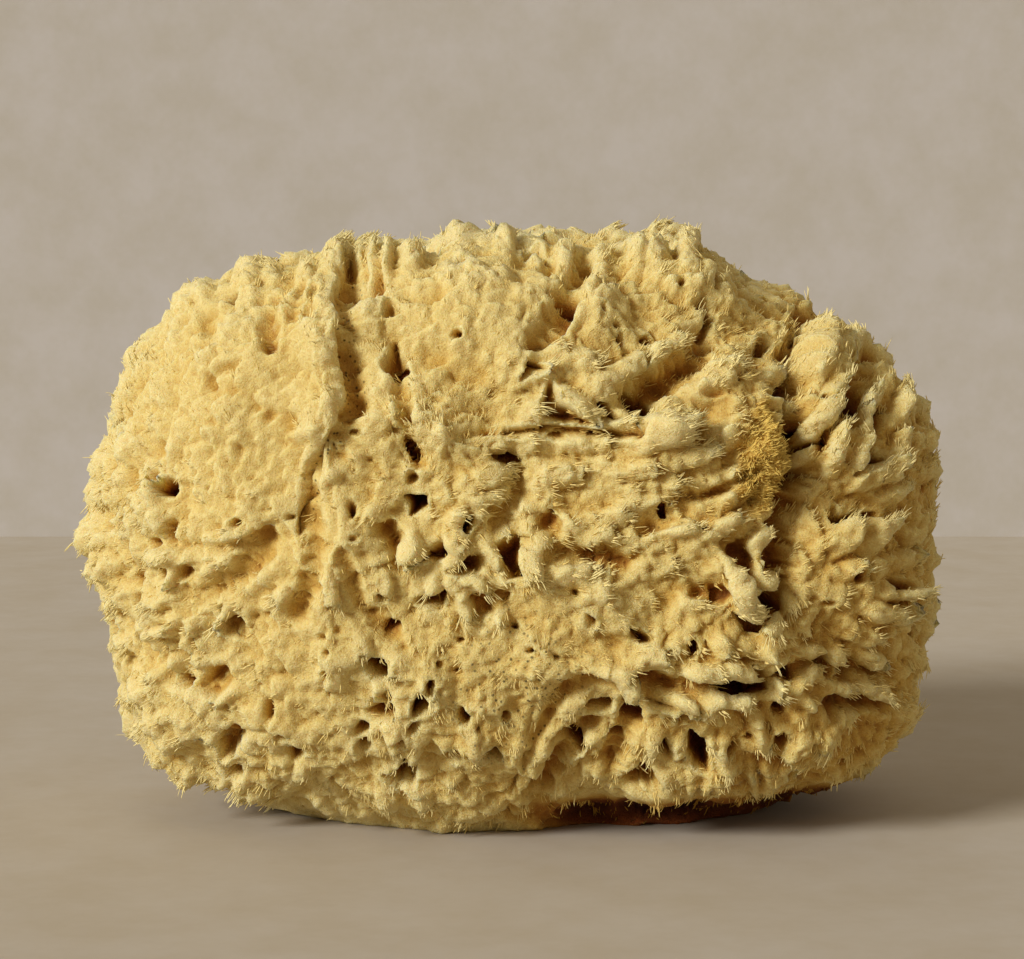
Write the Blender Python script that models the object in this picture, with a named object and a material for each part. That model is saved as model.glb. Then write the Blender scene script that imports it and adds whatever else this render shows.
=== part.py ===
"""A natural bath sponge with a flat cut base, built as one solid.

The body starts as a cube that is ruled into cells and blown up to a rounded
form with the sponge's outline. Swellings, plates and lumps push its skin out,
the base is cut flat, and channels and mouths are then cut out of it.

Run with: blender --background --python part.py
Sizes in the tables are millimetres, and the mesh is in metres. +Z is up, the
front looks along -Y, and the origin is the middle of the base.
"""

import math
from collections import namedtuple

import bmesh
import bpy
import numpy as np
from mathutils import Matrix, Vector
from mathutils.bvhtree import BVHTree

MM = 0.001

# Overall size. The outline is the distance from the middle of the front to the
# tips of the tufts, every 15 degrees from +X upwards.
DEPTH = 92.0
MIDDLE_HEIGHT = 51.0
OUTLINE = (
    73.0, 73.0, 65.0, 59.5, 56.5, 50.5, 51.0, 50.5, 55.0, 62.5, 69.5, 73.0,
    74.5, 73.5, 76.0, 69.0, 61.0, 56.5, 55.0, 56.5, 61.5, 70.5, 77.0, 75.0,
)
ROUNDNESS = 2.5
CELLS_ACROSS, CELLS_DEEP, CELLS_HIGH = 31, 19, 24

# The front's features are laid out on the upright plane through the middle, as
# they look from this point in front of the sponge: u to the right, w upwards.
EYE_DISTANCE, EYE_HEIGHT = 442.0, 99.5

# Swellings and plates: middle, half width and half height, turn, and rise.
Swell = namedtuple("Swell", "u w wide high turn rise")
SWELLS = (
    Swell(u=-46, w=76, wide=15, high=14, turn=0, rise=2.2),
    Swell(u=-33, w=74, wide=4.5, high=16, turn=0, rise=3.4),
    Swell(u=-36, w=91, wide=5, high=6, turn=-20, rise=2.0),
    Swell(u=-25, w=86, wide=6, high=3, turn=0, rise=2.0),
    Swell(u=-4, w=88, wide=14, high=9, turn=0, rise=2.4),
    Swell(u=-21, w=69, wide=3.5, high=9, turn=0, rise=2.0),
    Swell(u=-13, w=66, wide=4, high=5, turn=25, rise=2.4),
    Swell(u=14, w=89, wide=5, high=6, turn=0, rise=2.2),
    Swell(u=12, w=75, wide=6, high=4, turn=-35, rise=2.2),
    Swell(u=28, w=96, wide=9, high=5, turn=0, rise=1.6),
    Swell(u=-59, w=34, wide=8, high=5, turn=-15, rise=2.2),
    Swell(u=-30, w=45, wide=4, high=7, turn=0, rise=1.6),
    Swell(u=-33, w=29, wide=3.5, high=12, turn=0, rise=1.4),
    Swell(u=-59, w=13, wide=7, high=6, turn=0, rise=1.6),
    Swell(u=27, w=63, wide=9, high=6, turn=10, rise=2.6),
    Swell(u=30, w=48, wide=9, high=4, turn=12, rise=2.2),
    Swell(u=37, w=40, wide=2.5, high=6, turn=20, rise=3.0),
    Swell(u=44, w=43, wide=3, high=4, turn=0, rise=2.4),
    Swell(u=46, w=30, wide=4, high=3.5, turn=0, rise=2.4),
    Swell(u=15, w=22, wide=7, high=3, turn=0, rise=2.4),
    Swell(u=-4, w=13, wide=13, high=10, turn=0, rise=1.6),
    Swell(u=38, w=25, wide=5, high=3, turn=0, rise=2.2),
    Swell(u=58, w=45, wide=7, high=4, turn=10, rise=2.4),
    Swell(u=61, w=34, wide=8, high=5, turn=0, rise=2.4),
    Swell(u=64, w=55, wide=5, high=4, turn=0, rise=2.0),
    Swell(u=54, w=79, wide=5, high=5, turn=0, rise=2.6),
    Swell(u=44, w=61, wide=4.5, high=9, turn=0, rise=1.8),
)

# Channels and clefts: the line along the bottom, half width, and depth.
Channel = namedtuple("Channel", "path wide deep")
CHANNELS = (
    Channel(
        path=((-28.5, 86), (-28, 76), (-27.5, 70), (-30, 63), (-36.5, 57), (-37, 50)),
        wide=3.4,
        deep=6.5,
    ),
    Channel(path=((-37, 50), (-35, 43), (-37.5, 34)), wide=2.6, deep=3.0),
    Channel(
        path=((53, 90), (49.5, 80), (48.5, 70), (50, 58), (48.5, 50), (46.5, 42), (42, 32)),
        wide=3.8,
        deep=7.5,
    ),
    Channel(path=((24, 20), (33, 20), (43, 21), (53, 24)), wide=3.0, deep=5.0),
    Channel(path=((21, 71), (26, 76), (33, 80)), wide=2.8, deep=4.5),
    Channel(path=((12, 94), (7.5, 85), (2, 76), (7, 68)), wide=3.0, deep=5.0),
    Channel(path=((-44, 46), (-52, 38), (-61, 30)), wide=3.2, deep=3.0),
    Channel(path=((-20, 78), (-17.5, 62), (-16, 48)), wide=3.0, deep=3.5),
    Channel(path=((4, 0), (9, 8), (15, 15), (22, 15)), wide=3.0, deep=4.0),
    Channel(path=((-52, 2), (-47, 14), (-57, 22)), wide=3.4, deep=3.5),
)

# Mouths on the front: middle, half width and half height, turn, and depth.
Mouth = namedtuple("Mouth", "u w wide high turn deep")
MOUTHS = (
    Mouth(u=-53, w=74.5, wide=2.4, high=1.6, turn=25, deep=4),
    Mouth(u=-61.3, w=47.8, wide=1.7, high=2.8, turn=0, deep=6),
    Mouth(u=-27, w=90.5, wide=3.0, high=4.0, turn=0, deep=9),
    Mouth(u=-21, w=78, wide=2.0, high=2.8, turn=0, deep=8),
    Mouth(u=-17.8, w=52.3, wide=1.7, high=1.5, turn=0, deep=9),
    Mouth(u=8.5, w=69, wide=4.4, high=1.8, turn=-12, deep=10),
    Mouth(u=7.5, w=85, wide=1.9, high=5.2, turn=-28, deep=8),
    Mouth(u=22, w=71, wide=1.9, high=2.5, turn=0, deep=9),
    Mouth(u=34, w=87, wide=1.2, high=3.5, turn=0, deep=6),
    Mouth(u=44, w=82.5, wide=1.7, high=1.7, turn=0, deep=5),
    Mouth(u=30.5, w=65, wide=2.4, high=2.8, turn=0, deep=7),
    Mouth(u=53, w=63.5, wide=2.6, high=1.8, turn=0, deep=8),
    Mouth(u=62.5, w=60.5, wide=1.9, high=3.2, turn=-20, deep=9),
    Mouth(u=60, w=50, wide=3.0, high=1.4, turn=0, deep=8),
    Mouth(u=67.5, w=38, wide=1.9, high=1.4, turn=0, deep=5),
    Mouth(u=-14.5, w=44.5, wide=2.0, high=2.0, turn=0, deep=8),
    Mouth(u=-8.5, w=42.5, wide=3.0, high=1.8, turn=25, deep=8),
    Mouth(u=-1.3, w=43, wide=1.6, high=3.2, turn=0, deep=8),
    Mouth(u=-14.5, w=35.5, wide=1.9, high=1.5, turn=0, deep=9),
    Mouth(u=-5.5, w=35.5, wide=2.8, high=2.2, turn=0, deep=8),
    Mouth(u=-24.5, w=22.8, wide=1.9, high=1.9, turn=0, deep=12),
    Mouth(u=-25, w=16.3, wide=2.4, high=1.6, turn=0, deep=9),
    Mouth(u=-17, w=17.3, wide=1.7, high=1.6, turn=0, deep=10),
    Mouth(u=-9.8, w=14.8, wide=1.3, high=1.5, turn=0, deep=10),
    Mouth(u=-27, w=9, wide=1.3, high=1.8, turn=0, deep=9),
    Mouth(u=-18.8, w=4.2, wide=2.0, high=2.2, turn=0, deep=10),
    Mouth(u=-11.3, w=7, wide=1.4, high=1.3, turn=0, deep=9),
    Mouth(u=-4.2, w=6.9, wide=1.5, high=1.4, turn=0, deep=10),
    Mouth(u=21.5, w=29.5, wide=2.1, high=1.3, turn=-15, deep=8),
    Mouth(u=14, w=15.3, wide=1.5, high=1.5, turn=0, deep=6),
    Mouth(u=11, w=8, wide=1.7, high=2.0, turn=0, deep=7),
    Mouth(u=29, w=14, wide=1.7, high=1.5, turn=0, deep=7),
    Mouth(u=32, w=8.5, wide=2.2, high=2.8, turn=20, deep=8),
    Mouth(u=33.5, w=36.5, wide=3.0, high=1.6, turn=-10, deep=6),
    Mouth(u=61, w=21, wide=3.0, high=1.4, turn=5, deep=6),
    Mouth(u=40, w=42.5, wide=1.7, high=3.4, turn=10, deep=5),
    Mouth(u=-60.3, w=41, wide=2.6, high=1.8, turn=0, deep=5),
    Mouth(u=-50.5, w=30.5, wide=2.8, high=1.6, turn=-10, deep=6),
    Mouth(u=-55, w=21, wide=3.6, high=2.4, turn=-10, deep=8),
    Mouth(u=-50.8, w=9.5, wide=2.0, high=2.6, turn=-10, deep=7),
)

# Mouths on the sides that the photograph doesn't show. Across is the bearing
# round the sponge from the front and rise the climb from its middle, in degrees.
Hollow = namedtuple("Hollow", "across rise wide deep")
HOLLOWS = (
    Hollow(across=100, rise=12, wide=3.4, deep=9),
    Hollow(across=84, rise=-18, wide=2.6, deep=8),
    Hollow(across=118, rise=-10, wide=2.4, deep=9),
    Hollow(across=140, rise=22, wide=3.0, deep=9),
    Hollow(across=152, rise=-14, wide=3.6, deep=10),
    Hollow(across=168, rise=8, wide=2.8, deep=9),
    Hollow(across=180, rise=-24, wide=2.4, deep=8),
    Hollow(across=190, rise=26, wide=3.2, deep=10),
    Hollow(across=204, rise=-4, wide=4.0, deep=10),
    Hollow(across=222, rise=16, wide=2.6, deep=8),
    Hollow(across=236, rise=-20, wide=3.0, deep=9),
    Hollow(across=258, rise=6, wide=3.0, deep=9),
    Hollow(across=276, rise=-16, wide=2.6, deep=7),
    Hollow(across=272, rise=22, wide=2.8, deep=8),
    Hollow(across=60, rise=60, wide=3.6, deep=11),
    Hollow(across=-50, rise=64, wide=4.0, deep=12),
    Hollow(across=160, rise=62, wide=3.2, deep=10),
    Hollow(across=-140, rise=58, wide=2.8, deep=9),
    Hollow(across=0, rise=80, wide=3.4, deep=11),
)
SIDES_OF_A_MOUTH = 6
MOUTH_FLARE, MOUTH_BOTTOM = 1.4, 0.5
PLUG_OUTSIDE = 4.5

# The skin faces away from a core this much narrower and lower than the sponge.
CORE_SHARE = 0.6

# Lumps all over: spacing of the lumps, and how far they stand out.
BROAD_WAVE, BROAD_RISE = 24.0, 1.8
LUMP_SPACING, LUMP_RISE = 12.5, 5.0
KNOB_SPACING, KNOB_RISE = 7.0, 2.2
LUMP_SEED, KNOB_SEED, BROAD_SEED = 11, 23, 5

SPONGIN_COLOUR = (0.62, 0.41, 0.13, 1.0)
SPONGIN_ROUGHNESS = 0.95


def lattice_numbers(cells, seed, count):
    """Returns count repeatable numbers from 0 to 1 for each whole-numbered lattice cell."""
    x, y, z = (cells[..., k].astype(np.int64) for k in range(3))
    mixed = (x * 73856093) ^ (y * 19349663) ^ (z * 83492791) ^ (seed * 2654435761)
    numbers = []
    for k in range(count):
        mixed = ((mixed ^ (mixed >> 15)) * 2246822519 + k * 3266489917) & 0xFFFFFFFF
        mixed = (mixed ^ (mixed >> 13)) * 668265263 & 0xFFFFFFFF
        numbers.append((mixed ^ (mixed >> 16)) & 0xFFFF)
    return np.stack(numbers, axis=-1) / 65535.0


def waves(points, wavelength, seed):
    """Smooth noise of about -1 to 1: slopes at the lattice corners, blended across each cell."""
    scaled = points / wavelength
    base = np.floor(scaled)
    part = scaled - base
    fade = part**3 * (part * (part * 6 - 15) + 10)
    total = np.zeros(len(points))
    for corner in np.ndindex(2, 2, 2):
        corner = np.array(corner)
        slope = lattice_numbers(base + corner, seed, 3) * 2 - 1
        weight = np.where(corner == 1, fade, 1 - fade).prod(axis=1)
        total += weight * (slope * (part - corner)).sum(axis=1)
    return total * 1.6


def lumps(points, spacing, seed):
    """Height from 0 to 1 of rounded lumps, one in each lattice cell, shaken from its middle."""
    scaled = points / spacing
    base = np.floor(scaled)
    nearest = np.full(len(points), 9.0)
    for step in np.ndindex(3, 3, 3):
        cell = base + np.array(step) - 1
        nearest = np.minimum(
            nearest,
            np.linalg.norm(cell + lattice_numbers(cell, seed, 3) - scaled, axis=1),
        )
    return np.exp(-((nearest / 0.55) ** 2))


def outline_at(angle):
    """The outline's radius in mm at each angle, as a smooth closed curve through OUTLINE."""
    radii = np.array(OUTLINE)
    place = np.mod(angle, 2 * math.pi) / (2 * math.pi) * len(radii)
    first = np.floor(place).astype(int)
    t = place - first
    before, here, after, beyond = (radii[(first + k) % len(radii)] for k in (-1, 0, 1, 2))
    return 0.5 * (
        2 * here
        + (after - before) * t
        + (2 * before - 5 * here + 4 * after - beyond) * t**2
        + (3 * here - before - 3 * after + beyond) * t**3
    )


def blown_up(corners):
    """Points of the ruled cube, each side from -1 to 1, carried to the rounded form in mm."""
    size = (np.abs(corners) ** ROUNDNESS).sum(axis=1) ** (1 / ROUNDNESS)
    unit = corners / size[:, None]
    angle = np.arctan2(unit[:, 2] * MIDDLE_HEIGHT, unit[:, 0] * OUTLINE[0])
    share = (np.abs(unit[:, [0, 2]]) ** ROUNDNESS).sum(axis=1) ** (1 / ROUNDNESS)
    radius = share * outline_at(angle)
    return np.stack(
        [radius * np.cos(angle), unit[:, 1] * DEPTH / 2, MIDDLE_HEIGHT + radius * np.sin(angle)],
        axis=1,
    )


def as_seen(points):
    """Where points in mm show on the upright middle plane, looking from the eye: (u, w)."""
    nearer = EYE_DISTANCE / (EYE_DISTANCE + points[:, 1])
    return points[:, 0] * nearer, EYE_HEIGHT + (points[:, 2] - EYE_HEIGHT) * nearer


def off_path(u, w, path):
    """How far each (u, w) is from the nearest straight run of a path."""
    nearest = np.full(len(u), np.inf)
    for (u0, w0), (u1, w1) in zip(path, path[1:]):
        length = math.hypot(u1 - u0, w1 - w0)
        along = ((u - u0) * (u1 - u0) + (w - w0) * (w1 - w0)) / length**2
        along = np.clip(along, 0, 1)
        off = np.hypot(u - u0 - along * (u1 - u0), w - w0 - along * (w1 - w0))
        nearest = np.minimum(nearest, off)
    return nearest


def rise_of(points, facing_front):
    """How far each point of the skin stands out, in mm: waves, lumps, swellings and channels."""
    u, w = as_seen(points)
    rise = BROAD_RISE * waves(points, BROAD_WAVE, BROAD_SEED)
    rise += LUMP_RISE * (lumps(points, LUMP_SPACING, LUMP_SEED) - 0.7)
    rise += KNOB_RISE * (lumps(points, KNOB_SPACING, KNOB_SEED) - 0.7)
    for swell in SWELLS:
        turn = math.radians(swell.turn)
        along = (u - swell.u) * math.cos(turn) + (w - swell.w) * math.sin(turn)
        up = (w - swell.w) * math.cos(turn) - (u - swell.u) * math.sin(turn)
        near = np.exp(-((along / swell.wide) ** 2) - (up / swell.high) ** 2)
        rise += swell.rise * near * facing_front
    for channel in CHANNELS:
        near = np.exp(-((off_path(u, w, channel.path) / channel.wide) ** 2))
        rise -= channel.deep * near * facing_front
    return rise


def mesh_arrays(mesh):
    """The points and point normals of a mesh as arrays."""
    points = np.empty(len(mesh.vertices) * 3)
    normals = np.empty(len(mesh.vertices) * 3)
    mesh.vertices.foreach_get("co", points)
    mesh.vertex_normals.foreach_get("vector", normals)
    return points.reshape(-1, 3), normals.reshape(-1, 3)


def set_points(mesh, points):
    """Puts the points, given in mm, into the mesh in metres."""
    mesh.vertices.foreach_set("co", (points * MM).ravel())
    mesh.update()


def ruled_cube():
    """A cube of side 2, cut into cells whose lines stand at even angles from its middle."""
    cells = bmesh.new()
    bmesh.ops.create_cube(cells, size=2)
    for axis, count in enumerate((CELLS_ACROSS, CELLS_DEEP, CELLS_HIGH)):
        direction = Vector((0, 0, 0))
        direction[axis] = 1
        for line in range(1, count):
            place = direction * math.tan(math.pi / 4 * (2 * line / count - 1))
            everything = cells.verts[:] + cells.edges[:] + cells.faces[:]
            bmesh.ops.bisect_plane(cells, geom=everything, plane_co=place, plane_no=direction)
    mesh = bpy.data.meshes.new("sponge")
    cells.to_mesh(mesh)
    cells.free()
    return mesh


def cut_flat(mesh):
    """Cuts the sponge off flat at the base, as the knife that freed it from the rock did."""
    body = bmesh.new()
    body.from_mesh(mesh)
    everything = body.verts[:] + body.edges[:] + body.faces[:]
    cut = bmesh.ops.bisect_plane(
        body, geom=everything, plane_co=(0, 0, 0), plane_no=(0, 0, -1), clear_outer=True
    )
    rim = [part for part in cut["geom_cut"] if isinstance(part, bmesh.types.BMEdge)]
    bmesh.ops.holes_fill(body, edges=rim)
    body.to_mesh(mesh)
    body.free()


def centre(mesh):
    """Moves the mesh so that the middle of its box lies over the origin."""
    points, _ = mesh_arrays(mesh)
    middle = (points.min(axis=0) + points.max(axis=0)) / 2
    middle[2] = 0
    mesh.transform(Matrix.Translation(-Vector(middle)))
    return Vector(middle)


def build_body():
    """The sponge's body in its spongin finish, before anything is cut out of it."""
    mesh = ruled_cube()
    corners, _ = mesh_arrays(mesh)
    points = blown_up(corners)
    set_points(mesh, points)
    _, normals = mesh_arrays(mesh)
    facing_front = np.clip(-normals[:, 1] * 2 + 0.4, 0, 1)
    off_the_base = np.clip(normals[:, 2] * 2.5 + 2.2, 0, 1)
    rise = rise_of(points, facing_front) * off_the_base
    set_points(mesh, points + normals * rise[:, None])
    cut_flat(mesh)
    body = bpy.data.objects.new("sponge", mesh)
    body.data.materials.append(spongin())
    return body


def spongin():
    """The dry fibre skeleton: a butter-yellow, dull, open felt."""
    material = bpy.data.materials.new("spongin")
    material.use_nodes = True
    shader = material.node_tree.nodes["Principled BSDF"]
    shader.inputs["Base Color"].default_value = SPONGIN_COLOUR
    shader.inputs["Roughness"].default_value = SPONGIN_ROUGHNESS
    shader.inputs["Metallic"].default_value = 0.0
    return material


class Skin:
    """The body's skin, for finding the place of a mouth on it."""

    def __init__(self, body):
        shape = bmesh.new()
        shape.from_mesh(body.data)
        self.tree = BVHTree.FromBMesh(shape)
        shape.free()

    def seen_at(self, u, w):
        """The skin's point at (u, w) on the front, along the line of sight from the eye."""
        eye = Vector((0, -EYE_DISTANCE, EYE_HEIGHT)) * MM
        point, _, _, _ = self.tree.ray_cast(eye, Vector((u, 0, w)) * MM - eye)
        return point / MM

    def round_at(self, across, rise):
        """The skin's point at a bearing round from the front and an angle of rise, in degrees."""
        bearing, climb = math.radians(across), math.radians(rise)
        outward = Vector((
            math.sin(bearing) * math.cos(climb),
            -math.cos(bearing) * math.cos(climb),
            math.sin(climb),
        ))
        middle = Vector((0, 0, MIDDLE_HEIGHT)) * MM
        point, _, _, _ = self.tree.ray_cast(middle + outward, -outward)
        return point / MM

def outward_at(point):
    """Which way the skin faces at a point, as if its lumps were smoothed off."""
    core = Vector((point.x * CORE_SHARE, 0, MIDDLE_HEIGHT + (point.z - MIDDLE_HEIGHT) * CORE_SHARE))
    return (point - core).normalized()


def mouth_cutter(point, wide, high, turn, deep):
    """A tapered plug that stands through the skin, to be cut out of the body."""
    outward = outward_at(point)
    plug = bmesh.new()
    bmesh.ops.create_cone(
        plug,
        cap_ends=True,
        segments=SIDES_OF_A_MOUTH,
        radius1=MOUTH_BOTTOM,
        radius2=MOUTH_FLARE + (MOUTH_FLARE - MOUTH_BOTTOM) * PLUG_OUTSIDE / deep,
        depth=deep + PLUG_OUTSIDE,
    )
    bmesh.ops.translate(plug, verts=plug.verts, vec=(0, 0, (PLUG_OUTSIDE - deep) / 2))
    bmesh.ops.scale(plug, verts=plug.verts, vec=(wide, high, 1))
    up = Vector((0, 0, 1)) if abs(outward.z) < 0.9 else Vector((0, 1, 0))
    right = up.cross(outward).normalized()
    frame = Matrix((right, outward.cross(right), outward)).transposed().to_4x4()
    place = Matrix.Translation(point) @ frame @ Matrix.Rotation(math.radians(turn), 4, "Z")
    bmesh.ops.transform(plug, matrix=Matrix.Scale(MM, 4) @ place, verts=plug.verts)
    mesh = bpy.data.meshes.new("mouth")
    plug.to_mesh(mesh)
    plug.free()
    return bpy.data.objects.new("mouth_cutter", mesh)


def cut_out(body, cutters, collection):
    """Takes every cutter out of the body, each with its own Boolean."""
    for cutter in cutters:
        collection.objects.link(cutter)
        cutter.hide_render = True
        cutter.display_type = "WIRE"
        cut = body.modifiers.new(cutter.name, "BOOLEAN")
        cut.operation = "DIFFERENCE"
        cut.solver = "EXACT"
        cut.object = cutter


def main():
    """Builds the sponge."""
    for obj in list(bpy.data.objects):
        bpy.data.objects.remove(obj)
    sponge_parts = bpy.data.collections.new("sea_sponge")
    cutter_parts = bpy.data.collections.new("cutters")
    bpy.context.scene.collection.children.link(sponge_parts)
    bpy.context.scene.collection.children.link(cutter_parts)

    body = build_body()
    sponge_parts.objects.link(body)
    skin = Skin(body)
    cutters = []
    for mouth in MOUTHS:
        point = skin.seen_at(mouth.u, mouth.w)
        cutters.append(mouth_cutter(point, mouth.wide, mouth.high, mouth.turn, mouth.deep))
    for hollow in HOLLOWS:
        point = skin.round_at(hollow.across, hollow.rise)
        cutters.append(mouth_cutter(point, hollow.wide, hollow.wide * 0.8, 0, hollow.deep))
    shift = centre(body.data)
    for cutter in cutters:
        cutter.location = -shift
    cut_out(body, cutters, cutter_parts)
    body.data.shade_smooth()


main()
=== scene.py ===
"""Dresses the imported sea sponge: its felted skin, its fringes and its strands of fibre.

The sponge is one grown thing. Its skin is a closed grid of points blown up to
the sponge's form, on which broad lobes, shingled tufts, fringed fingers, channels
and mouths are laid as relief. Fringes, combed strands and gold curls of spongin
then grow from that skin. Sizes in the tables are millimetres, and meshes are made
in metres.
"""

from __future__ import annotations

import logging
import math
from dataclasses import dataclass
from enum import Enum

import bpy
import numpy as np
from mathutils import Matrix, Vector

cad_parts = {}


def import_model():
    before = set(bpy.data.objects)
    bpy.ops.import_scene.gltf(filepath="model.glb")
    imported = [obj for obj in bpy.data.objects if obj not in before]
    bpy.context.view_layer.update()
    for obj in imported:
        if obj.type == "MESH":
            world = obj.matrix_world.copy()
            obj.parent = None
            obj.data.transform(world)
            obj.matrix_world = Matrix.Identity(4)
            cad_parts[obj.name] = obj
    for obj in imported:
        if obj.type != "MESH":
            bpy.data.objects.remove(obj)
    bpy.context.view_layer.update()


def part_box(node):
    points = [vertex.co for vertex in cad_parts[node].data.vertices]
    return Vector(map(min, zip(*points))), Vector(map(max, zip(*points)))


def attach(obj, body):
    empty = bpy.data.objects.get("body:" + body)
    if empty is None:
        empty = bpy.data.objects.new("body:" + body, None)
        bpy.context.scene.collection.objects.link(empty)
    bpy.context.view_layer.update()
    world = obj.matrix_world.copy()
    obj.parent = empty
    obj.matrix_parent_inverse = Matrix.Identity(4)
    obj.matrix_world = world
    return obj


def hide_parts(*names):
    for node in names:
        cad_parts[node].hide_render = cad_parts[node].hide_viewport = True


LOG = logging.getLogger("sponge")
MM = 0.001
BODY = "root"
NODE = "sponge"
# The numbers of the colour sockets on a Mix node: two colours in, one out.
MIX_FIRST, MIX_SECOND, MIX_RESULT = 6, 7, 2


@dataclass(frozen=True)
class Swell:
    """A broad rise on the front: middle, half width and height, turn in degrees, and rise."""

    u: float
    w: float
    wide: float
    high: float
    turn: float
    rise: float


@dataclass(frozen=True)
class Channel:
    """A rounded furrow: the line along its bottom, its half width, and its depth."""

    path: tuple[tuple[float, float], ...]
    wide: float
    deep: float


@dataclass(frozen=True)
class Finger:
    """A tuft that leans over the front: its root, its fringed tip, its width, and its rise."""

    root: tuple[float, float]
    tip: tuple[float, float]
    wide: float
    rise: float


@dataclass(frozen=True)
class Mouth:
    """An oval opening on the front: middle, half width and height, turn in degrees, and depth."""

    u: float
    w: float
    wide: float
    high: float
    deep: float
    turn: float = 0.0


@dataclass(frozen=True)
class Pit:
    """An opening with a drawn edge: the corners of the edge, depth, and width of its wall."""

    edge: tuple[tuple[float, float], ...]
    deep: float
    wall: float


@dataclass(frozen=True)
class Ledge:
    """A brow over a furrow: the brow's line with the furrow on its right, width, and depth."""

    brow: tuple[tuple[float, float], ...]
    wide: float
    deep: float


@dataclass(frozen=True)
class Hollow:
    """An opening away from the front: bearing from the front, climb, radius, and depth."""

    across: float
    climb: float
    wide: float
    deep: float


class Growth(Enum):
    """The kinds of fibre on the skin."""

    FRINGE = "fringe"
    COMBED = "combed"
    GOLD = "gold"


@dataclass(frozen=True)
class StrandKind:
    """One kind of strand: pieces, starts in a piece, lengths in mm, curl, and first seed."""

    pieces: int
    count: int
    shortest: float
    longest: float
    curl: float
    seed: int


@dataclass(frozen=True)
class Pattern:
    """A seeded pattern on the skin: the size of its parts in mm, its seed, and its rise."""

    size: float
    seed: int
    rise: float = 1.0


@dataclass(frozen=True)
class Area:
    """A soft-edged area of the front: its middle, and its half width and height."""

    u: float
    w: float
    wide: float
    high: float

    def share(self, u: np.ndarray, w: np.ndarray) -> np.ndarray:
        """How far each place is in it: e to the minus square of its distance in half sizes."""
        return np.exp(-(((u - self.u) / self.wide) ** 2) - ((w - self.w) / self.high) ** 2)


STRAND_KINDS = {
    Growth.FRINGE: StrandKind(2, 1700, 0.6, 2.1, 1.0, 1000),
    Growth.COMBED: StrandKind(2, 7000, 0.5, 1.5, 0.8, 1050),
    Growth.GOLD: StrandKind(1, 2200, 0.5, 1.2, 1.1, 1100),
}
SMOOTH_AREAS = (Area(-46, 73, 17, 18), Area(-6, 84, 15, 10), Area(-38, 33, 18, 19))
GRAINY_AREA = Area(0, 20, 14, 15)
GOLD_PATCH = Area(43.4, 60.2, 5.6, 10.2)


DEPTH = 92.0
MIDDLE_HEIGHT = 51.0
ROUNDNESS = 2.5
OUTLINE = (
    73.0, 73.0, 65.0, 59.5, 56.5, 50.5, 51.0, 50.5, 55.0, 62.5, 69.5, 73.0,
    74.5, 73.5, 76.0, 69.0, 61.0, 56.5, 55.0, 56.5, 61.5, 70.5, 77.0, 75.0,
)
EYE_ACROSS, EYE_DISTANCE, EYE_HEIGHT = -0.6, 442.0, 99.5

SWELLS = (
    Swell(-46, 76, 15, 14, 0, 2.2),
    Swell(-33, 74, 4.5, 16, 0, 3.4),
    Swell(-36, 91, 5, 6, -20, 2.0),
    Swell(-25, 86, 6, 3, 0, 2.0),
    Swell(-4, 88, 14, 9, 0, 2.4),
    Swell(-21, 69, 3.5, 9, 0, 2.0),
    Swell(-13, 66, 4, 5, 25, 2.4),
    Swell(14, 89, 5, 6, 0, 2.2),
    Swell(12, 75, 6, 4, -35, 2.2),
    Swell(28, 96, 9, 5, 0, 0.8),
    Swell(-59, 34, 8, 5, -15, 2.2),
    Swell(-30, 45, 4, 7, 0, 1.6),
    Swell(-33, 29, 3.5, 12, 0, 1.4),
    Swell(-59, 13, 7, 6, 0, 1.6),
    Swell(27, 63, 9, 6, 10, 2.6),
    Swell(30, 48, 9, 4, 12, 2.2),
    Swell(37, 40, 2.5, 6, 20, 3.0),
    Swell(44, 43, 3, 4, 0, 2.4),
    Swell(46, 30, 4, 3.5, 0, 2.4),
    Swell(15, 22, 7, 3, 0, 2.4),
    Swell(-4, 13, 13, 10, 0, 1.6),
    Swell(38, 25, 5, 3, 0, 2.2),
    Swell(58, 45, 7, 4, 10, 2.4),
    Swell(61, 34, 8, 5, 0, 2.4),
    Swell(64, 55, 5, 4, 0, 2.0),
    Swell(54, 79, 5, 5, 0, 2.6),
    Swell(44, 61, 4.5, 9, 0, 1.8),
)

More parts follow.
